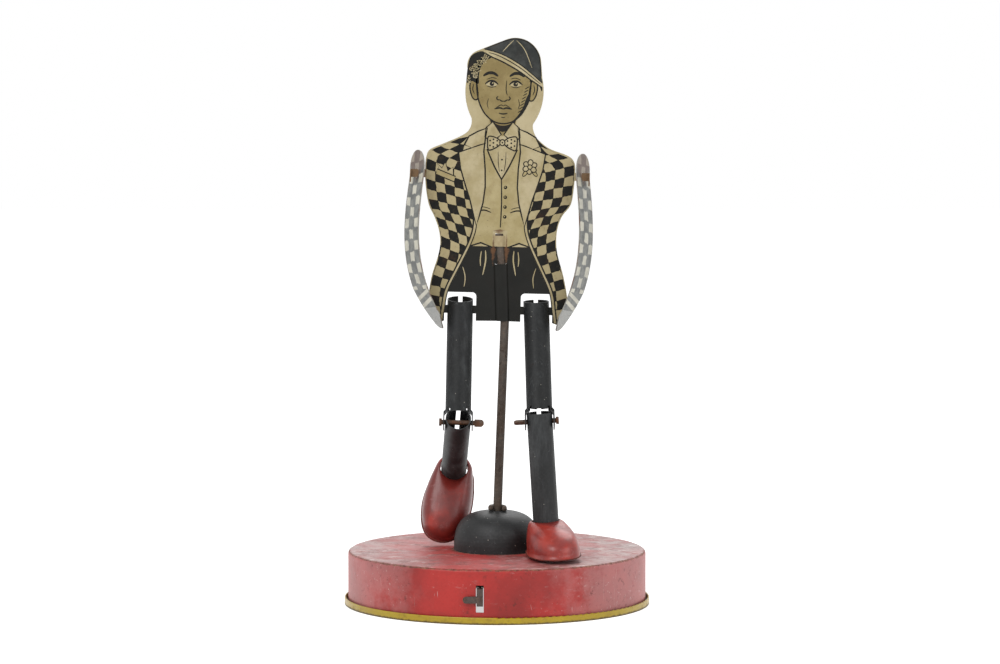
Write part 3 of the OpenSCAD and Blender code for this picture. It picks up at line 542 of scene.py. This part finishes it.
def aged(p, base, dirt=0.5):
    """Finishes an ink under the stained varnish and specks that all of the print shares."""
    stain = p.blots(0.5, 0.75, 8, 6, 0.65)
    base = p.mix(stain * 0.35 * dirt, base, RUST)
    grime = p.blots(0.5, 0.78, 1.8, 6, 0.75)
    base = p.mix(grime * 0.5 * dirt, base, colour(92, 82, 56))
    specks = p.blots(0.68, 0.73, 0.9, 3, 0.6)
    base = p.mix(specks * 0.8 * dirt, base, RUST_DARK)
    return p.finish(
        Base_Color=base, Roughness=0.36 + p.noise(2, 4) * 0.14 + stain * 0.1, Specular_IOR_Level=0.16,
        Normal=p.bump(p.noise(14, 3) + p.noise(1.1, 3) * 0.15, 0.05))


def ink_film(name, shade, other, dirt=0.5, size=9):
    p = Paint(name)
    base = p.mix(p.blots(0.35, 0.65, size, 5, 0.6), shade, other)
    return aged(p, base, dirt)


def black_ink():
    """Black ink with pinholes and rubbed spots that let the cream ground through."""
    p = Paint("black ink")
    base = p.mix(p.noise(10, 4), INK, INK_PALE)
    worn = p.blots(0.68, 0.72, 1.3, 5, 0.7)
    base = p.mix(worn * 0.45, base, CREAM)
    return aged(p, base, 0.3)


def check_film():
    """Hand-drawn checks of black on cream, in rows and columns of the film's own grid."""
    p = Paint("checked cloth ink")
    grid = p.node("ShaderNodeUVMap", {"uv_map": "weave"})
    u, v, _ = p.split(grid)
    u = u + (p.noise(3.2, 2) - 0.5) * 0.3
    v = v + (p.noise(3.0, 2, stretch=(1, 1, 1.3)) - 0.5) * 0.3
    square = p.step(abs(u % 1 - 0.5), 0.485, 0.47) * p.step(abs(v % 1 - 0.5), 0.485, 0.47)
    odd = (p.whole(u) + p.whole(v)) % 2
    pale = square * (odd > 0.5)
    base = p.mix(pale, INK, p.mix(p.noise(12, 3), CREAM, BUFF_DEEP))
    return aged(p, base, 0.6)


def printed_plate():
    """The plate itself: cream varnish in front, black over the trousers and bead, dull tin behind."""
    p = Paint("printed plate")
    x, y, z = p.axes()
    lean = math.atan2(figure_x.z, figure_x.x)
    c, s = math.cos(lean), math.sin(lean)
    across = (x - figure_foot.x) * c + (z - figure_foot.z) * s
    up = (z - figure_foot.z) * c - (x - figure_foot.x) * s
    front = y < PLATE_FRONT_Y + 0.02
    legs = (up < TROUSER_TOP) * (abs(across) < TROUSER_HALF)
    tabs = p.step(abs(across) + p.noise(2, 4) * 2, 34.4, 35.4)
    ground = p.mix(p.blots(0.3, 0.7, 16, 5, 0.6), CREAM, CREAM_DEEP)
    cloth = p.mix(p.noise(10, 4), INK, INK_PALE)
    face = p.mix(legs, ground, cloth)
    ragged = p.noise(1.6, 5, 0.7) * 4
    # Darker and rust brown along both sides of the bead and above its slit, and rougher there too.
    sides = p.step(abs(abs(across) - 3) * 1.6 + abs(up - 32) * 0.3 + ragged, 4.6, 2.8)
    above = p.step(abs(across + 0.6) * 0.9 + abs(up - 41) * 0.8 + ragged, 5.4, 2.6)
    strap = (abs(across) < STRAP_HALF) * (up > TROUSER_TOP) * (up < STRAP_TOP)
    face = p.mix(strap * 0.85, face, p.mix(p.noise(1.4, 4), CREAM, colour(150, 128, 92)))
    beside_bead = sides.most(above) * (1 - strap * 0.75)
    face = p.mix(beside_bead.most(tabs) * 0.85, face, p.mix(p.noise(1.2, 4), RUST, colour(112, 84, 60)))
    rear_rust = p.blots(0.5, 0.66, 11, 7, 0.7)
    rear = p.mix(rear_rust * 0.7, colour(138, 130, 108), RUST)
    base = p.mix(front, rear, face)
    stain = p.blots(0.5, 0.75, 8, 6, 0.65)
    base = p.mix(stain * 0.2 * (1 - legs * front * 0.9), base, RUST)
    rough = 0.38 + beside_bead * 0.25 + stain * 0.12 + (1 - front) * rear_rust * 0.2
    return p.finish(Base_Color=base, Roughness=rough, Metallic=(1 - front) * (1 - rear_rust) * 0.5,
                    Specular_IOR_Level=0.16,
                    Normal=p.bump(p.noise(14, 3) + beside_bead * p.noise(1.4, 4), 0.08))


# Outlines in millimetres, across and up from the middle of the plate's foot, for one half or for the whole
LEFT_EDGE = [(19.4, 81.4), (25.2, 78.7), (31.2, 76.1), (33.1, 73.3), (33.7, 69), (33.4, 61), (31.8, 52),
             (29.1, 46.5), (27.1, 40.6), (26.3, 34.5), (27.2, 28.3), (29.9, 18.8), (30.8, 9), (29.1, 0.2)]
RIGHT_EDGE = [(17.6, 79.7), (21.8, 76.9), (28.5, 74.4), (31.3, 72.4), (32.4, 69), (32, 61.2), (30.8, 53.2),
              (27.1, 48.1), (25.3, 42.7), (24.8, 37), (25.5, 30.3), (28.6, 19.9), (30.4, 9), (29.1, 0.2)]
COAT_INNER = [(15, 82.4), (17.6, 77), (17.2, 70), (15.4, 62), (13.4, 54), (12.2, 47), (12.4, 41),
              (14.2, 35), (17.4, 28), (20.8, 21), (23.4, 15.5), (24.8, 11), (25.6, 5), (26.4, -0.6)]
LAPEL = [(6.8, 86.4), (11, 84.8), (15, 82.5), (16.8, 78.6), (13.6, 77.4), (19.4, 75.2), (18.4, 68),
         (16.2, 61), (14, 54.5), (12.3, 48), (10.8, 42.6), (9.4, 47.5), (8, 53), (7.2, 60), (7.4, 68),
         (8.2, 76), (7.6, 82)]
WAISTCOAT = [(0, 63.5), (3.4, 69.5), (6.8, 77), (9, 77), (9.4, 70), (9, 62), (10, 54), (11.6, 47),
             (12, 41), (13, 36.5), (13.4, 33.4), (8.6, 35), (3.3, 33), (3.3, 40.6), (0, 41.2)]
FACE = [(0, 88.5), (4.3, 89.5), (8.2, 92.9), (10.7, 97.6), (11.9, 103), (12.1, 108.5), (11.4, 114),
        (8.4, 118.6), (0, 120.4)]
CROWN = [(-9.2, 121.6), (-4.4, 123.6), (0.6, 125.6), (4.9, 126.5), (9.6, 125.5), (13.1, 122.9),
         (15.3, 119.4), (16.1, 115.2), (16.6, 110), (17, 106.9), (12.4, 110.9), (7, 115), (0.6, 118.6),
         (-4.6, 120.7)]
BAND = [(-9, 121.5), (-4.4, 120.5), (0.8, 118.6), (7.2, 115), (12.6, 110.9), (17.1, 107), (17.2, 105),
        (12, 108.3), (6.4, 112.2), (-0.6, 116), (-5.6, 118.1), (-8.9, 120)]
CROWN_TOP = CROWN[:9]
BAND_TOP, BAND_FOOT = BAND[:6], BAND[6:]
# Where the coat's edge leaves the lapel
COAT_FRONT = COAT_INNER[5:]


def coat(cream, buff, black, checks):
    for flip, edge in ((mirrored, LEFT_EDGE), (as_drawn, RIGHT_EDGE)):
        outer, inner = flip(edge), flip(COAT_INNER)
        checks.cloth(1, outer, inner, COAT_CHECK)
        cream.line(2, flip([(x - PIPING / 2, z) for x, z in COAT_FRONT]), PIPING, ends=0.9)
        black.line(3, inner, 0.55, ends=0.8)
        black.line(3, flip([(x - PIPING, z) for x, z in COAT_FRONT]), 0.4, ends=0.8)
        cream.edged(4, flip(LAPEL), black, 0.5)
        black.line(5, flip([(7.4, 79.5), (10.4, 78.6), (13.6, 77.4)]), 0.45)
    pocket = [(-21.2, 62), (-29.4, 65.2), (-28.8, 67.6), (-20.6, 64.4)]
    buff.edged(3, pocket, black, 0.4)
    kerchief = [(-21.6, 64.8), (-21.8, 68.6), (-24, 66.8), (-25.2, 70.6), (-26.8, 68), (-28.8, 70),
                (-28, 67.4)]
    cream.patch(3, kerchief)
    black.line(4, kerchief, 0.4, smooth=False)


def waistcoat(cream, buff, black):
    for flip in (as_drawn, mirrored):
        buff.patch(0, flip(WAISTCOAT))
        black.line(1, flip([(0, 63.5), (3.4, 69.5), (6.8, 77)]), 0.55, ends=0.8)
        black.line(1, flip([(3.3, 33), (8.6, 35), (13.4, 33.4)]), 0.6, smooth=False, ends=0.8)
        black.line(1, flip([(4.2, 48.6), (7.2, 49.6), (10.4, 49.2)]), 0.5)
        black.line(1, flip([(4.6, 50.2), (7.4, 51), (9.6, 50.8)]), 0.3)
        cream.line(1, flip([(6.4, 31.6), (6.2, 27), (7.4, 20.5)]), 0.5)
        cream.line(1, flip([(8.2, 31.2), (8.6, 27.5), (8.4, 24.5)]), 0.4)
        cream.line(1, flip([(16.4, 24), (15.2, 19.5), (15.6, 15)]), 0.35)
    black.line(1, [(0, 63.5), (0.3, 52), (0, 42)], 0.45, ends=0.8)
    for z in (60, 55.6, 51.2, 46.8):
        black.patch(1, ring(1.9, z, 0.8))
        buff.patch(2, ring(1.75, z + 0.15, 0.3, n=8))


def shirt(cream, black):
    cream.patch(1, both([(0, 64.2), (3.2, 70), (6.6, 77.4), (6.6, 85), (0, 85)]))
    for z in (67.6, 72.4):
        black.patch(2, ring(0, z, 0.42, n=10))
    for x in (-1.6, 1.6):
        black.line(2, [(x * 0.6, 66.8), (x, 71), (x * 1.1, 76)], 0.25)
    for flip in (as_drawn, mirrored):
        wing = flip([(0.6, 83.6), (4.4, 89.2), (7.4, 86.6), (7.8, 82.4), (4.4, 79.4), (2.4, 82)])
        cream.edged(5, wing, black, 0.45)
        bow = bend(flip([(0.8, 80.6), (3, 82.2), (6.2, 82.6), (6.6, 79.6), (6, 76.6), (3, 77.6),
                         (0.8, 79.4)]), True)
        cream.edged(7, bow, black, 0.45)
        for x, z in ((2.3, 80.8), (2.3, 78.9), (4, 81.4), (4, 79.8), (4, 78), (5.5, 80.8), (5.5, 78.6)):
            black.patch(8, ring(*flip([(x, z)])[0], 0.42, n=10))
    cream.edged(9, ring(0, 80, 1.15, 1.35), black, 0.4)
    black.patch(10, ring(0, 80, 0.4, n=10))


def flower(cream, buff, black):
    """A small round bloom of six petals on the lapel, with two leaves."""
    x, z = 12.6, 69.4
    for turn in (-2.2, -0.9):
        leaf = ring(x + 3.3 * math.cos(turn), z + 3.3 * math.sin(turn), 1.9, 0.75, turn=turn)
        buff.edged(5, leaf, black, 0.3)
    for i in range(6):
        turn = math.tau * (i + 0.4) / 6
        petal = ring(x + 1.95 * math.cos(turn), z + 1.95 * math.sin(turn), 1.35, 1.12, turn=turn)
        cream.edged(7 + 2 * (i % 2), petal, black, 0.35)
    buff.edged(11, ring(x, z, 1), black, 0.35)


def head(cream, skin, black):
    skin.patch(2, both([(0, 83), (5.4, 83.6), (6.2, 93), (0, 94)]))
    black.patch(3, bend([(-6, 91.4), (-3.2, 88.4), (0, 87.6), (3.2, 88.4), (6, 91.4), (4.4, 87.2), (0, 84.8),
                         (-4.4, 87.2)], True))
    for flip in (as_drawn, mirrored):
        ear = bend(flip([(11.4, 100), (13, 99), (14.5, 101.4), (15.1, 105), (14.4, 107.6),
                         (12.4, 107.4)]), True)
        skin.edged(3, ear, black, 0.45)
        black.line(4, flip([(13, 101.4), (13.8, 103.6), (13.4, 106)]), 0.35)
    skin.edged(4, bend(both(FACE), True), black, 0.5)
    for flip in (as_drawn, mirrored):
        black.line(6, flip([(2.6, 109.6), (4.6, 110.9), (7, 110.9), (9.2, 109.6)]), 1.1, ends=0.3)
        eye = bend(flip([(2.7, 106.1), (4.3, 107.2), (6.3, 107.2), (8, 106), (6.3, 105), (4.3, 105)]), True)
        cream.patch(5, eye)
        black.line(6, flip([(2.5, 105.9), (4.2, 107.3), (6.4, 107.4), (8.3, 106)]), 0.7)
        black.line(6, flip([(3.4, 105.1), (5.4, 104.7), (7.4, 105.2)]), 0.32)
        black.patch(6, ring(*flip([(5.3, 106.15)])[0], 1))
        black.line(6, flip([(3.2, 108.5), (5.2, 108.9), (7.6, 108.1)]), 0.28)
        black.line(6, flip([(2.4, 100.7), (3, 99.9), (2.5, 99.1), (1.7, 99.2)]), 0.45)
        black.line(6, flip([(0, 98.5), (0.9, 98.6), (1.7, 99.2)]), 0.45)
        black.line(6, flip([(6.6, 99.6), (7.2, 97.2), (6.6, 95)]), 0.25)
        black.line(6, flip([(0, 95), (1.5, 95.5), (3.9, 95)]), 0.6)
        black.line(6, flip([(0, 96.3), (1.1, 96.8), (3.2, 95.5)]), 0.3)
    for x in (-5, 5.6):
        cream.patch(7, ring(x, 106.5, 0.3, n=8))
    black.line(6, [(1.3, 107.8), (1.1, 103.6), (1.7, 101.2)], 0.32)
    black.line(6, [(-2, 93.2), (0, 92.8), (2, 93.2)], 0.5)
    black.line(6, [(-0.9, 91.4), (0.2, 91.2), (1, 91.5)], 0.3)
    black.patch(6, bend([(12, 103), (11.9, 99.8), (10.6, 96.4), (8.2, 92.6), (4.6, 89.8), (7, 92.8),
                         (9, 96.4), (10.2, 100)], True))
    for i in range(8):
        z = 93.6 + i * 1.5
        inward = 6.6 + i * 0.42
        black.line(6, [(inward, z), (inward + 1.9, z + 1.2)], 0.32)


def curls(black, cream):
    """Short curly hair at the temples, under the cap."""
    black.patch(5, bend([(-11.3, 106), (-14.2, 107.2), (-16.5, 106.4), (-16.6, 110), (-16, 115),
                         (-14.9, 118.2), (-12.4, 120), (-9.4, 120.4), (-5.8, 118.2), (-8.8, 116),
                         (-10.6, 113), (-11.2, 109.6)], True))
    black.patch(5, bend([(11.4, 107.6), (13.4, 108.6), (16.9, 105.4), (16.9, 103.4), (15, 107)], True))
    rng = random.Random(4)
    for i in range(46):
        t = i / 45
        x = -14.9 + 7.4 * t ** 1.7 + rng.uniform(-1.2, 2.4)
        z = 107.8 + 10.6 * t ** 0.8 + rng.uniform(-0.8, 0.8)
        turn = rng.uniform(0, math.tau)
        arc = [(x + 0.7 * math.cos(turn + k * 0.9), z + 0.7 * math.sin(turn + k * 0.9)) for k in range(5)]
        cream.line(6, arc, 0.28)


def cap(felt, cream, black):
    felt.patch(7, bend(CROWN, True))
    black.line(8, CROWN_TOP, 0.5, ends=0.4)
    cream.patch(8, bend(BAND, True))
    black.line(9, BAND_TOP, 0.4, ends=0.6)
    black.line(9, BAND_FOOT, 0.5, ends=0.6)
    black.line(9, [(-7, 120), (-4.4, 119.4), (0, 117.6), (6.8, 113.8), (12.2, 109.8), (16.4, 106.6)], 0.35)
    cream.line(8, [(5.2, 125.8), (9, 121.6), (12.4, 113.6)], 0.28)
    cream.line(8, [(4, 125.8), (1.6, 123.4), (-0.8, 120.6)], 0.28)


def print_figure():
    cream = Ink("print_cream", ink_film("cream ink", CREAM, CREAM_DEEP))
    buff = Ink("print_buff", ink_film("buff ink", BUFF, BUFF_DEEP))
    skin = Ink("print_tan", ink_film("tan ink", TAN, TAN_DEEP))
    black = Ink("print_black", black_ink())
    checks = Ink("print_checks", check_film())
    felt = Ink("print_grey", ink_film("worn black ink", colour(46, 48, 47), colour(66, 68, 66), 0.2, 5))
    waistcoat(cream, buff, black)
    shirt(cream, black)
    coat(cream, buff, black, checks)
    flower(cream, buff, black)
    head(cream, skin, black)
    curls(black, cream)
    cap(felt, cream, black)
    for ink in (cream, buff, skin, black, felt, checks):
        ink.print()


def printed_arm(side, sign):
    """An arm's strip: a faded print of pale checks, a cuff and a hand outside, dull tin inside."""
    p = Paint("faded print of the %s arm" % side)
    pose = (Matrix.Rotation(math.atan2(-figure_x.z, figure_x.x), 3, "Y")
            @ Matrix.Rotation(math.radians(-ARM_HANG), 3, "X")
            @ Matrix.Rotation(math.radians(ARM_TURN[side]), 3, "Z"))
    shoulder = Vector(joints[side + "_shoulder"]["pos_m"])
    outward = p.reach(p.node("ShaderNodeNewGeometry", out="Normal"), pose @ Vector((sign, 0, 0)))
    here = p.node("ShaderNodeVectorMath", {"operation": "SUBTRACT"}, {0: p.place, 1: shoulder})
    down = p.reach(here, pose @ Vector((0, 0, -1000)))
    across = p.reach(here, pose @ Vector((0, 1000, 0)))
    wobble = p.noise(3.4, 2) - 0.5
    u = across / ARM_CHECK + wobble * 0.35 + 0.5
    v = down / ARM_CHECK + wobble * 0.4
    square = p.step(abs(u % 1 - 0.5), 0.47, 0.36) * p.step(abs(v % 1 - 0.5), 0.46, 0.36)
    pale = square * ((p.whole(u) + p.whole(v)) % 2)
    bands = [p.step(abs(down - band - across * 0.25), 1.0, 0.6) for band in CUFF_BANDS]
    cuff = bands[0].most(bands[1])
    sleeve = down < SLEEVE_END
    hand = down > HAND_TOP
    fade = p.blots(0.3, 0.72, 9, 5, 0.65)
    base = p.mix(p.blots(0.35, 0.65, 5, 6, 0.7), colour(78, 80, 78), colour(124, 126, 121))
    base = p.mix((pale * sleeve).most(cuff) * (0.95 - fade * 0.4), base, colour(216, 212, 194))
    base = p.mix(hand * 0.6, base, colour(182, 183, 178))
    rim = p.step(abs(across) + p.noise(2.5, 4) * 1.2, 7.4, 8.2)
    stain = p.blots(0.56, 0.74, 5, 6, 0.7)
    hole = p.step(down + abs(across) + p.noise(2, 4) * 3, 7, 3.6)
    base = p.mix((rim * 0.5).most(stain * 0.45).most(hole * 0.6), base, RUST)
    plain = p.mix(p.blots(0.45, 0.65, 8, 6, 0.7), colour(140, 138, 130), RUST)
    front = outward > 0.2
    base = p.mix(front, plain, base)
    return p.finish(Base_Color=base, Roughness=0.4 + stain * 0.2 + (1 - front) * 0.1,
                    Metallic=(1 - front) * 0.3, Normal=p.bump(p.noise(1.6, 4) + stain * 0.5, 0.04))


dress(printed_plate(), "figure_plate")
dress(printed_arm("left", -1), "left_arm")
dress(printed_arm("right", 1), "right_arm")
print_figure()


# The shoes, pressed from thin tin, in millimetres from the heel's post

SHIN_LEN = 58.4
SHOE_TIN = 0.45
SHOE_TOP = 13.8
TOE_DROP = 4.4
TOE_REACH = 32
THROAT = Vector((0, 0.75))
THROAT_R = 6.35
FLANGE = 0.7
# Squareness of the shell's section at the heel, and how much more there is at the toe
HEEL_SQUARE, TOE_SQUARE = 2.4, 1.3
# Angles of each leg, as the assembly has them: thigh, swing, pin, bend, shin and shoe
LEGS = {"left": (-0.4, -18, 0.8, 74, 2, -10), "right": (-2.8, -24, -2.2, 25, -0.4, 10)}
# Half outline of the sole, from the toe to the heel
SOLE = [(0, -30.9), (4.2, -30), (7.6, -27), (9.8, -22), (10.9, -16), (11.1, -11), (10.5, -5), (9.5, 0),
        (8.3, 4.4), (5.2, 8.2), (0, 9.5)]
# Place, depth and size of each shoe's dents
DENTS = {"left": [((6, -8, 12), 0.42, 5), ((-8, -18, 6), 0.3, 4)],
         "right": [((5.5, -12, 12), 0.66, 5), ((-3, -24, 8), 0.3, 4), ((8, -20, 6), 0.3, 3.5)]}
# How far the shell stands inside the CAD shoe, and how far its surface wavers about that
SETBACK, WAVES = 0.096, 0.18


def turned(angle, axis):
    return Matrix.Rotation(math.radians(angle), 3, axis)


def shoe_pose(side):
    """Where the middle of a shoe's heel stands, and which way the shoe is turned."""
    thigh, swing, pin, bending, shin, foot = LEGS[side]
    pose = Matrix((figure_x, (0, 1, 0), figure_z)).transposed()
    pose = pose @ turned(swing, "X") @ turned(thigh + pin, "Y") @ turned(bending, "X") @ turned(shin, "Y")
    heel = Vector(joints[side + "_knee"]["pos_m"]) / MM + pose @ Vector((0, 0, -SHIN_LEN))
    return heel, pose @ turned(foot, "Z")


def shoe_point(side, edge, spread, height):
    """A point of the shell towards a point of the sole's edge. The shares spread, out from the throat,
    and height, up from the sole, run from 0 to 1; a spread past 1 is on the flange."""
    out = Vector(edge) - THROAT
    ahead = max(-out.y, 0) / TOE_REACH
    square = 2 / (HEEL_SQUARE + TOE_SQUARE * ahead)
    share = min(spread, 1) ** square
    radius = THROAT_R + (out.length - THROAT_R) * share + max(spread - 1, 0)
    top = SHOE_TOP - TOE_DROP * ahead * share ** 1.3
    flat = THROAT + out.normalized() * radius
    p = Vector((flat.x, flat.y, SHOE_TIN + (top - SHOE_TIN) * height ** square))
    waves = noise.noise(p * 0.16 + Vector((7, 3, len(side)))) * WAVES
    inward = SETBACK + waves * min(height * 4, 1) * min(spread * 3, 1)
    for spot, depth, size in DENTS[side]:
        inward += depth * math.exp(-((p - Vector(spot)).length / size) ** 2) * min(height * 3, 1)
    p -= out.normalized().to_3d() * inward * min(spread * 2, 1)
    p.z -= inward * height
    return p


def shoe(side, dark):
    """A rounded shell drawn down hoop by hoop, from the throat round the ankle to the flange."""
    heel, pose = shoe_pose(side)
    edge = bend(SOLE + [(-x, y) for x, y in SOLE[-2:0:-1]], True, 8)
    steps = 22
    hoops = [(math.sin(math.pi / 2 * k / steps), math.cos(math.pi / 2 * k / steps)) for k in range(steps + 1)]
    hoops += [(1.12, 0), (1 + FLANGE, 0)]
    bm = bmesh.new()
    which = bm.verts.layers.int.new("point of the edge")
    verts = [bm.verts.new() for _ in edge]
    for i, v in enumerate(verts):
        v[which] = i
    edges = [bm.edges.new((verts[i - 1], verts[i])) for i in range(len(verts))]
    for k, hoop in enumerate(hoops):
        if k:
            drawn = bmesh.ops.extrude_edge_only(bm, edges=edges)["geom"]
            verts = [g for g in drawn if isinstance(g, bmesh.types.BMVert)]
            edges = [g for g in drawn if isinstance(g, bmesh.types.BMEdge) and set(g.verts) <= set(verts)]
        for v in verts:
            v.co = (heel + pose @ shoe_point(side, edge[v[which]], *hoop)) * MM
    flange = {face for v in verts for face in v.link_faces}
    for face in bm.faces:
        face.smooth = True
        face.material_index = int(face in flange)
    # The first faces lie round the throat, where the shell's outside looks up
    bm.normal_update()
    bm.faces.ensure_lookup_table()
    if bm.faces[0].normal.dot(pose @ Vector((0, 0, 1))) < 0:
        bmesh.ops.reverse_faces(bm, faces=bm.faces)
    mesh = bpy.data.meshes.new(side + "_tin_shoe")
    bm.to_mesh(mesh)
    bm.free()
    mesh.materials.append(shoe_enamel("red enamel of the %s shoe" % side, dark))
    mesh.materials.append(rusty_steel("worn flange of the %s shoe" % side, colour(112, 42, 34),
                                      colour(78, 38, 32)))
    piece = bpy.data.objects.new(side + "_tin_shoe", mesh)
    bpy.context.scene.collection.objects.link(piece)
    shell = piece.modifiers.new("shell", "SOLIDIFY")
    shell.thickness = SHOE_TIN * MM
    shell.offset = -1
    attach(piece, side + "_shin")
    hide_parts(side + "_shoe")


# The left shoe's enamel is painted darker than the right's, as painted shade.
shoe("left", 0.75)
shoe("right", 0.1)


# Room, lamps and camera

def room():
    """A white floor that keeps a soft shadow, and a white surround."""
    bm = bmesh.new()
    bmesh.ops.create_grid(bm, x_segments=2, y_segments=2, size=3)
    mesh = bpy.data.meshes.new("floor")
    bm.to_mesh(mesh)
    bm.free()
    floor = bpy.data.objects.new("floor", mesh)
    bpy.context.scene.collection.objects.link(floor)
    p = Paint("white floor")
    path = p.tree.nodes.new("ShaderNodeLightPath")
    seen = Value(p, path.outputs["Is Camera Ray"]).most(Value(p, path.outputs["Is Glossy Ray"]))
    seen = seen.most(Value(p, path.outputs["Is Transmission Ray"]))
    glow = p.node("ShaderNodeEmission", {}, {"Color": (1, 1, 1, 1), "Strength": 0.62})
    matt = p.node("ShaderNodeBsdfDiffuse", {}, {"Color": (0.72, 0.72, 0.72, 1)})
    bright = p.node("ShaderNodeAddShader", {}, {0: glow, 1: matt})
    shown = p.node("ShaderNodeMixShader", {}, {0: seen, 1: matt, 2: bright})
    p.tree.links.new(shown.socket, p.tree.nodes["Material Output"].inputs["Surface"])
    mesh.materials.append(p.material)

    world = bpy.data.worlds.new("white surround")
    world.use_nodes = True
    tree = world.node_tree
    tree.nodes.clear()
    path = tree.nodes.new("ShaderNodeLightPath")
    seen = tree.nodes.new("ShaderNodeMath")
    seen.operation = "MAXIMUM"
    tree.links.new(path.outputs["Is Camera Ray"], seen.inputs[0])
    tree.links.new(path.outputs["Is Glossy Ray"], seen.inputs[1])
    soft = tree.nodes.new("ShaderNodeBackground")
    soft.inputs["Strength"].default_value = 0.55
    white = tree.nodes.new("ShaderNodeBackground")
    white.inputs["Color"].default_value = (1, 1, 1, 1)
    soft.inputs["Color"].default_value = (1, 1, 1, 1)
    mix = tree.nodes.new("ShaderNodeMixShader")
    tree.links.new(seen.outputs[0], mix.inputs[0])
    tree.links.new(soft.outputs[0], mix.inputs[1])
    tree.links.new(white.outputs[0], mix.inputs[2])
    out = tree.nodes.new("ShaderNodeOutputWorld")
    tree.links.new(mix.outputs[0], out.inputs["Surface"])
    bpy.context.scene.world = world


def lamp(name, place, aim, size, power):
    light = bpy.data.lights.new(name, "AREA")
    light.shape = "SQUARE"
    light.size = size
    light.energy = power
    holder = bpy.data.objects.new(name, light)
    holder.location = place
    holder.rotation_euler = (Vector(aim) - Vector(place)).to_track_quat("-Z", "Y").to_euler()
    bpy.context.scene.collection.objects.link(holder)


def lamps():
    aim = (0, 0, 0.12)
    lamp("key lamp", (-0.8, -1.1, 1.3), aim, 0.9, 14)
    lamp("fill lamp", (1.1, -1.0, 0.7), aim, 1.0, 7)
    lamp("back lamp", (0.2, 1.2, 1.2), aim, 1.0, 8)


def camera():
    """The photograph's view, from two metres away and slightly above."""
    place = Vector((1.4, -2000, 295.6)) * MM
    aim = Vector((1.4, 0, 122.4)) * MM
    data = bpy.data.cameras.new("camera")
    data.sensor_width = 36
    data.lens = 161
    data.clip_start = 0.1
    data.clip_end = 20
    holder = bpy.data.objects.new("camera", data)
    holder.location = place
    holder.rotation_euler = (aim - place).to_track_quat("-Z", "Y").to_euler()
    bpy.context.scene.collection.objects.link(holder)
    bpy.context.scene.camera = holder
    bpy.context.scene.view_settings.view_transform = "Standard"


room()
lamps()
camera()
